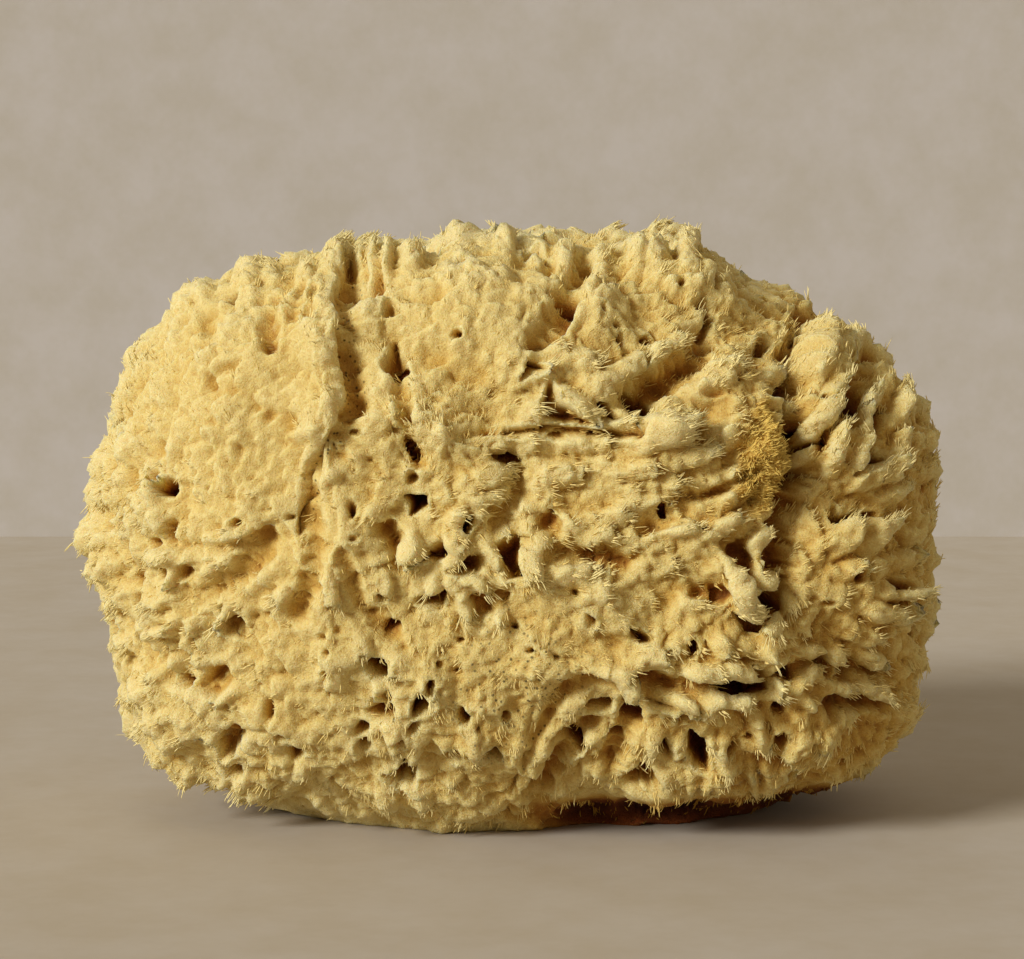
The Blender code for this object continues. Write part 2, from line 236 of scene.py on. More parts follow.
CHANNELS = (
    Channel(((-35.2, 50), (-34.8, 45), (-35, 40.5), (-37.5, 36), (-38.5, 33)), 1.5, 2.2),
    Channel(((53, 88), (51, 83), (48.8, 78), (48.4, 72), (49, 67), (50, 58)), 2.2, 6.5),
    Channel(((50, 58), (48.5, 52), (46.8, 47), (46.2, 43), (46, 38), (42, 33)), 2.0, 5.5),
    Channel(((24, 20), (33, 20.2), (43, 21), (53, 24)), 1.6, 4.0),
    Channel(((31.5, 79), (28, 76.5), (23.3, 73.2), (21.5, 71)), 2.2, 4.5),
    Channel(((12, 95), (9, 89), (6.5, 85), (4, 81.2)), 1.6, 2.6),
    Channel(((-44, 46), (-46, 42), (-52, 38), (-61, 34)), 1.8, 2.2),
    Channel(((-20, 76), (-19, 69), (-18.4, 63.5), (-16.6, 60)), 1.0, 1.8),
    Channel(((4.5, 0), (7, 4), (9.5, 8), (13, 11)), 1.5, 3.6),
    Channel(((-1.5, 60), (0, 55), (-2.5, 51), (0, 46)), 2.0, 3.0),
    Channel(((5.5, 48.5), (7, 45), (13, 42.8), (20, 42)), 1.6, 3.0),
    Channel(((-58.6, 31), (-60, 28), (-59, 24)), 0.9, 2.0),
    Channel(((-36.8, 91), (-38.8, 85)), 0.8, 1.6),
    Channel(((-34.4, 90), (-36, 84)), 0.7, 1.4),
    Channel(((-53, 86), (-54, 81)), 1.6, 1.6),
    Channel(((-42.8, 86), (-42.4, 80)), 0.9, 2.0),
    Channel(((-30.5, 44), (-28.5, 39.5), (-27.5, 35)), 0.8, 1.4),
    Channel(((-23, 48), (-21, 45), (-20.5, 42)), 1.3, 2.6),
    Channel(((34, 88), (34.2, 82)), 1.2, 1.6),
    Channel(((55, 24), (65, 22.8)), 1.2, 3.0),
    Channel(((57, 16.3), (66, 17)), 1.2, 3.0),
    Channel(((58.5, 78), (60, 73), (58, 68)), 1.8, 3.0),
    Channel(((36, 47), (38.5, 43), (40.3, 40)), 1.5, 1.8),
    Channel(((-25, 33), (-22, 30), (-20, 27)), 1.0, 1.4),
    Channel(((20, 13.5), (19, 9), (17, 5)), 1.6, 2.4),
)

FINGERS = (
    Finger((-47, 90), (-45.5, 96.8), 5.0, 2.4),
    Finger((-41, 89), (-43, 95.2), 3.6, 1.8),
    Finger((-37, 88), (-36.6, 95.6), 3.6, 1.8),
    Finger((-34, 88), (-29.8, 98.8), 4.6, 2.6),
    Finger((-27.5, 90), (-27, 98.2), 1.5, 1.8),
    Finger((-25.2, 90), (-24.6, 98.4), 1.5, 2.2),
    Finger((-22.8, 90), (-21.6, 98.6), 1.7, 2.4),
    Finger((-18, 91), (-17.4, 98.5), 4.2, 2.0),
    Finger((-10, 94), (-9.2, 103.2), 4.6, 2.4),
    Finger((-2, 94), (-2.0, 104), 4.2, 3.0),
    Finger((3.4, 93), (4.4, 99.5), 3.0, 2.0),
    Finger((9, 91), (8.6, 98.4), 3.4, 2.0),
    Finger((14, 91), (15, 98.6), 3.6, 2.0),
    Finger((19, 92), (21.4, 99.6), 3.6, 2.2),
    Finger((23, 92), (25, 100.0), 4.4, 2.0),
    Finger((30, 91), (30.4, 100.4), 4.2, 2.4),
    Finger((34, 90), (33.4, 97.5), 3.0, 1.8),
    Finger((-52, 84), (-54.5, 91), 4.0, 1.6),
    Finger((-61, 73), (-66, 78), 4.4, 1.4),
    Finger((-66, 62), (-71.5, 67), 4.2, 1.4),
    Finger((-60, 66), (-62.4, 60), 3.0, 1.8),
    Finger((-69, 58), (-74.6, 53), 4.0, 1.8),
    Finger((-67, 48), (-75, 46), 3.6, 1.8),
    Finger((-63.5, 52), (-63, 46.5), 2.2, 2.2),
    Finger((-68, 44), (-74, 40), 3.4, 1.8),
    Finger((-66, 39), (-72, 34), 3.4, 1.8),
    Finger((-64, 34), (-70, 27), 3.4, 2.0),
    Finger((-52, 42), (-66, 43.5), 4.0, 2.0),
    Finger((-50, 36), (-66.5, 35), 2.6, 2.0),
    Finger((-51, 33), (-65.5, 29), 2.4, 2.0),
    Finger((-56, 27), (-64.5, 22), 2.4, 2.0),
    Finger((-60.2, 43), (-60.3, 37.5), 1.6, 2.4),
    Finger((-50, 35.5), (-52.3, 30.5), 2.0, 2.6),
    Finger((-47, 34), (-49.3, 29), 2.0, 2.4),
    Finger((-50, 24), (-58, 24.6), 3.0, 2.4),
    Finger((-48, 20), (-53.8, 16.8), 3.2, 2.6),
    Finger((-45, 14), (-49, 15.5), 2.6, 1.8),
    Finger((-63, 23), (-69.8, 18), 3.6, 2.0),
    Finger((-60, 17), (-67, 12), 3.4, 2.2),
    Finger((-59, 11), (-64.5, 5.8), 3.2, 2.4),
    Finger((-56, 8), (-58, 2.8), 2.6, 2.4),
    Finger((-51, 6), (-53, 0.8), 3.0, 2.4),
    Finger((-47, 7), (-48.6, 1.0), 2.6, 2.2),
    Finger((-43, 6), (-44, 0.6), 2.8, 2.0),
    Finger((-38, 6), (-39, 0.4), 3.0, 2.0),
    Finger((-33.5, 6), (-34, 0.0), 2.8, 1.8),
    Finger((-29, 6), (-30, 0.4), 2.8, 1.8),
    Finger((-24.5, 5), (-23.6, -1.0), 2.6, 2.0),
    Finger((-45, 48), (-50, 46.4), 3.0, 1.8),
    Finger((-40, 44), (-44.5, 39), 4.4, 1.6),
    Finger((-37, 40), (-42, 35.5), 3.6, 1.6),
    Finger((-33, 40), (-31.5, 35), 3.4, 1.6),
    Finger((-24, 42), (-22.6, 37), 3.4, 1.6),
    Finger((-28, 33), (-26.5, 25.5), 3.6, 1.6),
    Finger((-19, 30), (-21.4, 22.5), 3.8, 1.8),
    Finger((-20, 49), (-17.6, 42.8), 4.6, 3.0),
    Finger((-16.8, 61), (-15.8, 69.5), 4.6, 2.0),
    Finger((-12, 55), (-1.6, 58.6), 4.6, 2.2),
    Finger((-12, 52), (-3.2, 53.4), 3.0, 1.8),
    Finger((-14, 49), (-8.8, 50.6), 3.4, 2.4),
    Finger((-13, 46), (-9.0, 44.0), 2.6, 2.2),
    Finger((-6, 46), (-2.7, 41.4), 2.4, 2.2),
    Finger((-10, 40), (-4.8, 37.6), 2.6, 2.4),
    Finger((-15, 40), (-14.6, 36.6), 2.8, 2.6),
    Finger((-9.6, 38), (-8.4, 32.2), 3.0, 1.8),
    Finger((-1, 50), (-1.3, 46.8), 3.0, 2.6),
    Finger((3, 49), (2.6, 40.0), 4.6, 2.8),
    Finger((4, 40), (12.6, 40.4), 4.0, 2.2),
    Finger((-3.6, 36), (-2.6, 31.4), 2.6, 2.4),
    Finger((1, 76.5), (13.4, 67.2), 5.0, 3.2),
    Finger((-3, 73), (5.6, 75.8), 3.2, 2.4),
    Finger((6, 79), (14, 78), 4.0, 2.0),
    Finger((12, 72.5), (24.6, 80.2), 4.6, 2.8),
    Finger((19, 75), (29.6, 83.4), 3.4, 2.4),
    Finger((26, 83), (33.4, 86.6), 4.4, 2.0),
    Finger((4, 67.2), (21, 66.4), 2.6, 2.4),
    Finger((4, 63), (16.4, 63.6), 3.4, 2.2),
    Finger((12, 58.4), (23.6, 58.4), 3.8, 2.2),
    Finger((2, 58.5), (11.5, 58.0), 4.4, 2.0),
    Finger((22, 65), (37.4, 77), 6.0, 2.6),
    Finger((16, 63), (29.6, 66.2), 7.0, 3.2),
    Finger((31, 62.4), (39.6, 66.0), 5.6, 3.0),
    Finger((24, 58.6), (33.5, 61.6), 3.8, 2.4),
    Finger((30, 54.4), (40.6, 58.6), 3.8, 3.0),
    Finger((20, 55), (28, 56.4), 3.2, 2.2),
    Finger((16, 51), (27, 54.0), 3.8, 2.4),
    Finger((31, 50), (41.8, 54.6), 4.2, 3.0),
    Finger((10, 48.5), (20, 51), 4.2, 2.2),
    Finger((20, 46), (31.4, 49.6), 4.0, 2.2),
    Finger((30, 44.6), (38.4, 50.6), 4.0, 2.6),
    Finger((8, 45), (17, 47.6), 3.6, 2.0),
    Finger((16, 40), (28, 41.6), 4.0, 1.8),
    Finger((35.4, 47), (39.6, 34.2), 3.2, 4.0),
    Finger((39.6, 43), (43.8, 47.2), 3.6, 2.6),
    Finger((39, 38.6), (46.8, 39.4), 2.8, 2.8),
    Finger((40.6, 36), (41.6, 38.6), 2.0, 2.2),
    Finger((26, 33), (33, 36.2), 4.0, 2.0),
    Finger((46, 35), (43.8, 30.6), 4.0, 2.6),
    Finger((52, 36), (50.6, 30.4), 3.4, 2.0),
    Finger((40, 28), (44.6, 26.4), 3.6, 2.4),
    Finger((37.4, 81), (44, 84), 4.0, 1.6),
    Finger((36, 74), (39.4, 78.4), 4.0, 2.0),
    Finger((41, 74.4), (49.4, 78.8), 3.8, 3.0),
    Finger((41, 71.4), (49.8, 71.4), 3.0, 3.0),
    Finger((40, 68.6), (46.6, 68.4), 2.4, 2.4),
    Finger((51.4, 72), (52.4, 85.2), 5.6, 2.8),
    Finger((57, 73), (59.6, 83.4), 5.0, 2.4),
    Finger((62, 72), (65.2, 79.4), 4.4, 2.2),
    Finger((53, 71), (57, 73.6), 2.6, 2.4),
    Finger((50, 64), (55.6, 70), 4.6, 3.0),
    Finger((50.6, 59.4), (52.8, 63.0), 3.0, 2.8),
    Finger((55, 53), (56.6, 65.8), 3.0, 2.8),
    Finger((58.6, 54), (60.2, 62.6), 2.4, 2.4),
    Finger((61, 59), (61.8, 69.0), 2.4, 3.0),
    Finger((60.6, 66), (63.0, 72.6), 2.6, 2.8),
    Finger((66, 64), (67.4, 72.2), 3.0, 2.6),
    Finger((66.6, 56), (68.0, 65.0), 2.8, 2.4),
    Finger((68.6, 62), (74.2, 65.6), 4.0, 2.0),
    Finger((69.4, 55), (75.6, 61.0), 4.0, 2.2),
    Finger((69.4, 48), (74.8, 50.6), 4.0, 2.0),
    Finger((53, 53.6), (66.4, 59), 4.6, 2.8),
    Finger((63, 51.8), (68.4, 55.2), 3.4, 2.4),
    Finger((53, 43), (59.6, 49.2), 5.2, 2.8),
    Finger((59, 44), (64.8, 48.8), 4.4, 3.0),
    Finger((62, 41), (70.6, 43.4), 3.6, 2.4),
    Finger((54, 39), (60.0, 42.0), 3.6, 2.6),
    Finger((61, 36.6), (69.8, 37.4), 3.2, 3.0),
    Finger((57, 35.4), (65.8, 33.0), 4.2, 2.6),
    Finger((62, 31.4), (69.6, 33.6), 3.4, 2.6),
    Finger((56, 31), (63.6, 28.4), 4.0, 2.6),
    Finger((55.6, 28.6), (58.6, 23.2), 3.6, 2.6),
    Finger((61, 26), (66.0, 24.2), 3.2, 2.6),
    Finger((49.6, 27), (54.0, 25.8), 3.6, 2.2),
    Finger((49, 21), (53.6, 23.4), 3.4, 2.2),
    Finger((54, 20), (60.6, 19.0), 3.6, 2.2),
    Finger((60, 19.6), (66.4, 18.8), 3.4, 2.2),
    Finger((68, 30), (72.4, 24), 4.0, 2.0),
    Finger((66, 14), (70.0, 16.6), 3.4, 1.8),
    Finger((12, 24.4), (21.4, 20.4), 5.0, 3.0),
    Finger((20, 27), (26.6, 25.6), 3.6, 2.2),
    Finger((28, 24), (34.4, 23.2), 3.4, 2.6),
    Finger((35, 24.4), (40.6, 23.0), 3.4, 2.8),
    Finger((22, 19), (31.0, 16.4), 4.2, 2.4),
    Finger((31, 19.4), (39.6, 18.2), 3.4, 2.6),
    Finger((30, 30), (27.4, 27.0), 3.2, 2.0),
    Finger((34, 31), (36.6, 26.4), 4.0, 2.2),
    Finger((43.6, 23.6), (46.4, 19.0), 3.0, 2.4),
    Finger((49.4, 19.6), (51.6, 17.0), 2.6, 2.2),
    Finger((41, 17.6), (44.0, 9.4), 3.2, 2.8),
    Finger((46.4, 15), (44.8, 8.6), 2.2, 2.4),
    Finger((52.6, 14.4), (47.4, 8.0), 3.0, 2.4),
    Finger((57, 14.6), (53.6, 10), 3.0, 2.0),
    Finger((35.8, 13), (37.4, 5.6), 3.6, 2.6),
    Finger((41, 9.8), (42.4, -0.4), 1.8, 2.8),
    Finger((33.6, 12.6), (35.4, 9), 2.4, 2.0),
    Finger((29.6, 10.6), (28.6, 6.4), 2.6, 2.2),
    Finger((24.6, 12), (24.0, 7.2), 2.8, 2.2),
    Finger((25, 6.4), (26.6, 2.6), 3.2, 2.6),
    Finger((30.6, 5), (30.6, -0.4), 2.0, 2.4),
    Finger((33.8, 4.6), (33.0, 0.2), 2.0, 2.2),
    Finger((37.4, 4.6), (35.6, 0.6), 2.4, 2.4),
    Finger((45.4, 5.6), (44.6, 1.0), 2.6, 2.0),
    Finger((50, 7), (49.6, 2.6), 2.6, 2.0),
    Finger((56, 8), (56.4, 4.2), 3.0, 1.8),
    Finger((62, 10), (63.0, 5.4), 3.2, 1.8),
    Finger((-22, 14), (-21.6, 8.6), 3.2, 1.8),
    Finger((-14.6, 13), (-11.8, 9.0), 2.8, 1.8),
    Finger((-25.6, 21), (-23.6, 17.6), 2.6, 2.4),
    Finger((-17, 22.6), (-14.4, 18.6), 2.4, 2.4),
    Finger((-16.6, 10), (-18.6, 5.4), 2.6, 2.2),
    Finger((-7.6, 11), (-6.8, 6.6), 2.6, 1.6),
    Finger((0, 10), (0.6, 5), 3.0, 1.6),
    Finger((14.6, 12), (12.6, 7.6), 2.8, 1.8),
)

MOUTHS = (
    Mouth(-53.4, 73.8, 1.3, 1.5, 3.5, 20),
    Mouth(-50, 75.8, 3.2, 1.1, 2.2, 20),
    Mouth(-53, 66.8, 1.5, 0.9, 2.6, 30),
    Mouth(-42.9, 68.2, 1.0, 1.5, 2.4, -15),
    Mouth(-48.3, 61.8, 0.7, 1.3, 1.8),
    Mouth(-41.8, 88.8, 0.8, 1.0, 2.4),
    Mouth(-42.5, 80.6, 0.5, 1.2, 1.6),
    Mouth(-62.5, 61.0, 0.7, 2.4, 2.0, 15),
    Mouth(-68.1, 56.2, 0.9, 1.2, 3.0),
    Mouth(-66.8, 65.6, 0.8, 1.4, 1.8),
    Mouth(-49.8, 55, 0.8, 2.4, 1.6),
    Mouth(-48.5, 49.2, 0.9, 1.0, 4.0),
    Mouth(-47, 48.5, 0.35, 0.35, 2.0),
    Mouth(-39.6, 50.3, 0.7, 0.35, 2.5),
    Mouth(-28.5, 52.2, 0.75, 1.35, 4.0, 10),
    Mouth(-25.5, 60.2, 0.6, 0.5, 1.6),
    Mouth(-27.8, 67.1, 0.85, 0.85, 5.0),
    Mouth(-27.1, 64.8, 0.55, 0.55, 4.0),
    Mouth(-30.6, 61.8, 0.8, 0.7, 5.0),
    Mouth(-28.7, 81.8, 1.6, 2.0, 4.0, 35),
    Mouth(-27, 89.6, 2.4, 1.7, 6.5),
    Mouth(-10.1, 81.3, 0.9, 0.55, 3.0),
    Mouth(-21.5, 87, 1.3, 1.7, 2.6),
    Mouth(15.7, 86.4, 0.45, 0.45, 2.0),
    Mouth(18.4, 84.5, 0.7, 0.5, 2.2),
    Mouth(19.0, 82.4, 0.45, 1.0, 3.4),
    Mouth(23.5, 83.0, 0.8, 0.7, 3.4, 30),
    Mouth(22.9, 79.0, 0.6, 1.3, 4.0),
    Mouth(18.8, 91.5, 1.6, 1.0, 3.0, 10),
    Mouth(15.7, 68.8, 2.0, 1.3, 5.0),
    Mouth(7.4, 64.5, 1.6, 0.5, 3.2),
    Mouth(-1.8, 60.2, 1.6, 0.5, 3.0, -10),
    Mouth(-18.0, 62.2, 0.35, 1.7, 3.2, 25),
    Mouth(-20, 65, 0.4, 0.4, 2.0),
    Mouth(-18.2, 57, 1.0, 1.2, 2.6),
    Mouth(-8.4, 49, 0.7, 1.2, 5.5, -20),
    Mouth(6, 50.8, 0.45, 0.45, 2.2),
    Mouth(25.5, 51.8, 0.6, 1.2, 4.0),
    Mouth(-13.7, 71.2, 1.5, 0.8, 1.6),
    Mouth(-4.4, 65.8, 2.5, 0.7, 1.8, 10),
    Mouth(33.9, 86.0, 0.7, 2.2, 2.4),
    Mouth(35.4, 92, 0.6, 1.6, 2.8),
    Mouth(29, 91.9, 0.6, 0.6, 2.0),
    Mouth(44, 82.6, 1.3, 1.8, 3.4),
    Mouth(34.4, 72.2, 1.6, 0.8, 2.6),
    Mouth(38.5, 75.2, 0.9, 0.5, 2.0),
    Mouth(45.6, 72.4, 1.4, 0.7, 4.6),
    Mouth(48.2, 67.2, 2.1, 1.0, 4.0),
    Mouth(53.6, 71.3, 0.5, 0.5, 3.4),
    Mouth(56.7, 67.4, 1.0, 1.6, 4.0),
    Mouth(59.8, 72.4, 1.3, 2.4, 3.6),
    Mouth(64, 68, 1.0, 2.0, 4.0),
    Mouth(33.3, 49.2, 1.0, 0.7, 4.0, 20),
    Mouth(-61.3, 47.8, 1.2, 1.9, 4.0, -15),
    Mouth(-64.3, 45.6, 0.9, 0.6, 4.0),
    Mouth(-54.7, 44, 0.6, 0.7, 2.0),
    Mouth(-62.1, 40.8, 0.9, 1.3, 3.4),
    Mouth(-58, 40.6, 1.1, 1.4, 3.4),
    Mouth(-67.8, 39.3, 0.8, 1.5, 3.6),
    Mouth(-67.4, 34.9, 0.9, 1.7, 3.6),
    Mouth(-61.7, 31.9, 0.8, 0.35, 2.0, 25),
    Mouth(-44, 33, 0.6, 0.35, 2.2, 15),
    Mouth(-27.8, 46.7, 0.8, 0.5, 2.2),
    Mouth(-23.3, 36, 1.0, 0.5, 3.0),
    Mouth(-32.2, 34.4, 0.5, 0.5, 1.8),
    Mouth(-21.8, 30.3, 1.0, 0.9, 3.0),
    Mouth(-34.2, 29.2, 0.7, 0.4, 2.6, -20),
    Mouth(-33.3, 26.3, 0.6, 0.6, 2.6),
    Mouth(-33.7, 21.8, 0.6, 0.9, 4.0, 25),
    Mouth(-33, 17.9, 0.5, 0.5, 2.0),
    Mouth(-30.7, 30.5, 0.8, 0.9, 1.6),
    Mouth(-44, 15.5, 0.9, 1.4, 3.0, 15),
    Mouth(-39, 7.5, 1.3, 1.3, 4.6),
    Mouth(-41.6, 10.4, 0.9, 0.9, 3.0),
    Mouth(-24.4, 22.9, 1.65, 1.7, 10.0),
    Mouth(-23.4, 18.4, 1.0, 0.6, 5.0),
    Mouth(-27.5, 11.9, 1.0, 1.5, 5.5, -35),
    Mouth(-27, 8.2, 1.15, 1.0, 7.0),
    Mouth(-32.6, 1.7, 0.35, 0.35, 1.6),
    Mouth(-56, 9.3, 0.45, 0.45, 2.0),
    Mouth(-15.0, 20.8, 0.6, 1.0, 5.0, -30),
    Mouth(-9.6, 15, 0.95, 1.35, 7.0),
    Mouth(-17.5, 13.2, 0.8, 1.3, 5.0, -35),
    Mouth(-20.5, 10.3, 1.0, 0.6, 4.0),
    Mouth(-11.4, 7.3, 1.4, 0.95, 6.5, 20),
    Mouth(-4.1, 7.0, 1.25, 1.15, 7.5),
    Mouth(-1.2, 14.1, 0.55, 0.45, 3.0),
    Mouth(-6.5, 12.9, 0.4, 0.4, 2.2),
    Mouth(3.4, 7.7, 0.5, 0.45, 2.2),
    Mouth(-12.9, 24.4, 0.5, 0.5, 2.2),
    Mouth(-9.8, 28.3, 0.5, 0.5, 2.2),
    Mouth(-10.0, 23.0, 0.4, 0.4, 1.8),
    Mouth(2.3, 26.9, 0.7, 0.5, 2.4),
    Mouth(0, 31.2, 0.55, 0.4, 3.0),
    Mouth(7.7, 25.7, 0.4, 0.4, 1.8),
    Mouth(10.3, 37.2, 0.4, 0.4, 2.0),
    Mouth(15.6, 41.4, 0.5, 0.4, 2.6),
    Mouth(13.2, 31.8, 0.8, 0.9, 2.6, 30),
    Mouth(21.9, 29.4, 2.0, 1.0, 5.0, -22),
    Mouth(14.7, 21.7, 0.7, 0.5, 2.6),
    Mouth(11, 7.6, 1.2, 1.7, 4.0, 25),
    Mouth(18, 9.1, 1.0, 0.9, 5.0),
    Mouth(20.2, 13.6, 1.1, 1.3, 3.4),
    Mouth(30.7, 27.4, 0.5, 1.0, 4.6, -20),
    Mouth(47.2, 22.5, 1.5, 0.9, 4.0),
    Mouth(46.5, 16.3, 1.0, 1.0, 4.0),
    Mouth(38.1, 8.5, 0.8, 0.85, 6.5),
    Mouth(41.3, 11.2, 0.6, 0.35, 3.4),
    Mouth(26.3, 8.4, 0.8, 1.4, 4.6, 10),
    Mouth(46.2, 10.6, 0.9, 1.7, 5.0, -15),
    Mouth(67.6, 38.5, 2.2, 1.0, 4.0, 10),
    Mouth(59.5, 40.1, 0.8, 1.1, 2.6),
    Mouth(54.6, 35.0, 1.2, 0.8, 2.2),
    Mouth(57.0, 51.4, 0.6, 0.6, 2.2),
    Mouth(45.0, 35.4, 0.5, 1.6, 3.0, -40),
)

PITS = (
    Pit(((-34.6, 59.3), (-31.6, 62.6), (-28.2, 62.8), (-28.8, 59.6), (-31.5, 58.8)), 4.0, 1.1),
    Pit(
        ((-31.2, 94.6), (-29.8, 88.2), (-24.6, 88.6), (-22.6, 91.5), (-23.4, 95.0), (-26, 92.4)),
        3.6,
        1.4,
    ),
    Pit(((-21.3, 81.4), (-23.5, 77.8), (-20.6, 75.2), (-19.0, 76.0), (-19.2, 79.0)), 4.0, 0.9),
    Pit(((-19.6, 53.6), (-16.4, 53.4), (-16.2, 51.9), (-18.7, 50.5), (-18.6, 52.2)), 6.5, 0.6),
    Pit(((3.6, 81.0), (6.6, 81.0), (9.4, 84.6), (10.2, 90.0), (8.2, 89.0), (6.6, 83.6)), 3.4, 1.2),
    Pit(((2.2, 77.4), (3.8, 77.2), (4.6, 76.2), (0.9, 74.0), (1.6, 75.6)), 5.0, 0.5),
    Pit(((4.2, 69.6), (5.4, 67.4), (13.2, 66.6), (9.6, 68.6), (7.4, 71.0), (6.0, 74.0)), 5.5, 0.7),
    Pit(((20.2, 69.4), (22.0, 68.2), (24.0, 70.2), (23.4, 72.8), (21.0, 72.2)), 5.0, 0.8),
    Pit(((28.6, 64.0), (31.0, 62.4), (34.6, 63.4), (33.2, 67.6), (29.6, 67.2)), 4.0, 1.2),
    Pit(((50.2, 63.8), (53.4, 61.4), (54.8, 63.0), (54.6, 66.0), (52.8, 64.2)), 5.0, 0.8),
    Pit(
        ((59.8, 57.6), (63.0, 59.2), (64.4, 60.4), (63.0, 63.6), (62.0, 62.4), (60.4, 59.6)),
        6.5,
        0.8,
    ),
    Pit(
        ((55.8, 51.2), (59.0, 50.7), (64.0, 50.6), (62.0, 49.6), (59.5, 49.0), (55.9, 49.4)),
        5.5,
        0.6,
    ),
    Pit(
        ((-16.2, 45.0), (-13.4, 46.0), (-12.6, 43.8), (-14.4, 42.0), (-19.4, 42.4), (-17.2, 43.2)),
        5.5,
        0.8,
    ),
    Pit(((-12.2, 40.6), (-6.6, 43.8), (-5.0, 43.6), (-5.8, 40.8), (-9.6, 39.8)), 4.5, 0.9),
    Pit(
        ((-2.8, 45.6), (-0.2, 46.2), (0.2, 43.0), (0.6, 40.2), (-2.2, 39.2), (-2.7, 41.5)),
        5.0,
        0.9,
    ),
    Pit(((-17.6, 35.2), (-14.2, 36.8), (-12.9, 35.8), (-13.2, 33.2), (-15.6, 33.8)), 5.0, 0.8),
    Pit(
        ((-8.4, 35.6), (-4.0, 37.4), (-1.2, 36.0), (-2.0, 33.4), (-4.6, 32.6), (-7.6, 31.6)),
        2.8,
        1.2,
    ),
    Pit(((-51.9, 28.9), (-48.8, 28.4), (-47.6, 30.0), (-48.6, 32.4), (-52.2, 32.2)), 4.0, 0.9),
    Pit(
        ((-58.2, 20.0), (-56.2, 22.0), (-55.2, 23.6), (-52.6, 23.4), (-50.6, 20.6), (-53.0, 17.0)),
        4.0,
        1.2,
    ),
    Pit(
        ((-53.2, 8.6), (-51.8, 11.0), (-50.0, 12.0), (-48.6, 10.0), (-50.2, 6.6), (-52.6, 5.8)),
        5.0,
        1.0,
    ),
    Pit(((-27.0, 15.0), (-25.6, 17.2), (-22.0, 17.4), (-22.2, 14.6), (-25.6, 14.0)), 6.5, 0.7),
    Pit(((-18.4, 17.2), (-16.8, 18.8), (-13.6, 17.8), (-14.6, 16.0), (-17.6, 15.6)), 7.0, 0.7),
    Pit(
        ((-23.6, 3.2), (-20.4, 4.2), (-19.6, 6.2), (-18.0, 5.6), (-17.8, 2.0), (-20.6, 1.8)),
        7.0,
        0.7,
    ),
    Pit(((12.4, 15.4), (14.6, 16.4), (17.0, 16.6), (16.6, 14.6), (13.4, 13.8)), 4.0, 0.7),
    Pit(((19.6, 22.6), (21.6, 23.2), (24.0, 21.4), (22.6, 20.2), (20.6, 20.8)), 5.5, 0.7),
    Pit(
        ((29.9, 36.2), (31.0, 38.2), (34.8, 38.2), (37.0, 36.4), (36.0, 34.4), (33.0, 35.4)),
        3.0,
        1.2,
    ),
    Pit(
        ((34.6, 20.0), (37.0, 21.2), (41.0, 20.8), (44.6, 20.8), (44.6, 20.0), (38.6, 19.2)),
        5.0,
        0.8,
    ),
    Pit(((30.4, 7.4), (31.0, 11.4), (33.0, 10.2), (34.4, 7.0), (34.2, 5.2), (31.6, 5.8)), 6.5, 0.8),
    Pit(((27.8, 14.0), (28.6, 15.8), (31.0, 15.0), (31.0, 13.2), (28.8, 12.4)), 5.0, 0.7),
    Pit(((40.6, 31.0), (44.4, 35.0), (47.2, 37.4), (46.8, 35.2), (42.6, 30.4)), 3.0, 1.0),
    Pit(((37.6, 45.0), (40.6, 46.8), (41.2, 42.4), (40.4, 38.4), (39.2, 40.4)), 2.6, 1.4),
    Pit(((17.4, 1.6), (20.0, 3.4), (23.0, 5.6), (24.4, 3.6), (23.6, 1.2), (19.6, 0.6)), 4.4, 1.0),
)

LEDGES = (
    Ledge(
        (
            (-38.3, 50.7), (-38.0, 57.6), (-36.6, 59.8), (-34.0, 61.6), (-31.4, 64.6),
            (-29.8, 67.2), (-29.0, 70.7), (-29.0, 75.4), (-29.9, 79.7), (-29.9, 84.8),
            (-31.4, 87.0), (-31.0, 89.6), (-30.0, 94.5),
        ),
        4.6,
        4.2,
    ),
    Ledge(((-60.0, 47.0), (-53.0, 46.2), (-49.5, 46.2), (-45.0, 47.6)), 3.4, 1.8),
    Ledge(((-1.0, 66.2), (6.0, 66.6), (13.6, 66.4), (21.0, 65.8)), 2.4, 2.6),
    Ledge(((41.0, 51.6), (37.0, 50.2), (31.0, 49.0), (24.0, 47.6)), 3.4, 2.0),
    Ledge(((21.4, 19.8), (14.0, 18.6), (9.0, 16.4)), 5.0, 1.7),
    Ledge(((9.0, 16.4), (4.5, 8.0), (1.0, 2.5)), 4.0, 1.5),
    Ledge(((30.4, 15.0), (24.0, 16.6), (20.0, 15.4)), 2.6, 2.4),
    Ledge(((41.0, 57.0), (34.0, 53.4), (28.0, 52.6)), 2.4, 1.8),
)

HOLLOWS = (
    Hollow(100, 12, 3.4, 9),
    Hollow(84, -18, 2.6, 8),
    Hollow(118, -10, 2.4, 9),
    Hollow(140, 22, 3.0, 9),
    Hollow(152, -14, 3.6, 10),
    Hollow(168, 8, 2.8, 9),
    Hollow(180, -24, 2.4, 8),
    Hollow(190, 26, 3.2, 10),
    Hollow(204, -4, 4.0, 10),
    Hollow(222, 16, 2.6, 8),
    Hollow(236, -20, 3.0, 9),
    Hollow(258, 6, 3.0, 9),
    Hollow(276, -16, 2.6, 7),
    Hollow(272, 22, 2.8, 8),
    Hollow(60, 60, 3.6, 11),
    Hollow(-50, 64, 4.0, 12),
    Hollow(160, 62, 3.2, 10),
    Hollow(-140, 58, 2.8, 9),
    Hollow(0, 80, 3.4, 11),
)


def smoothstep(low: float, high: float, value: np.ndarray) -> np.ndarray:
    """Rises from 0 at low to 1 at high, level at both ends: t squared times 3 minus 2t."""
    t = np.clip((value - low) / (high - low), 0.0, 1.0)
    return t * t * (3.0 - 2.0 * t)


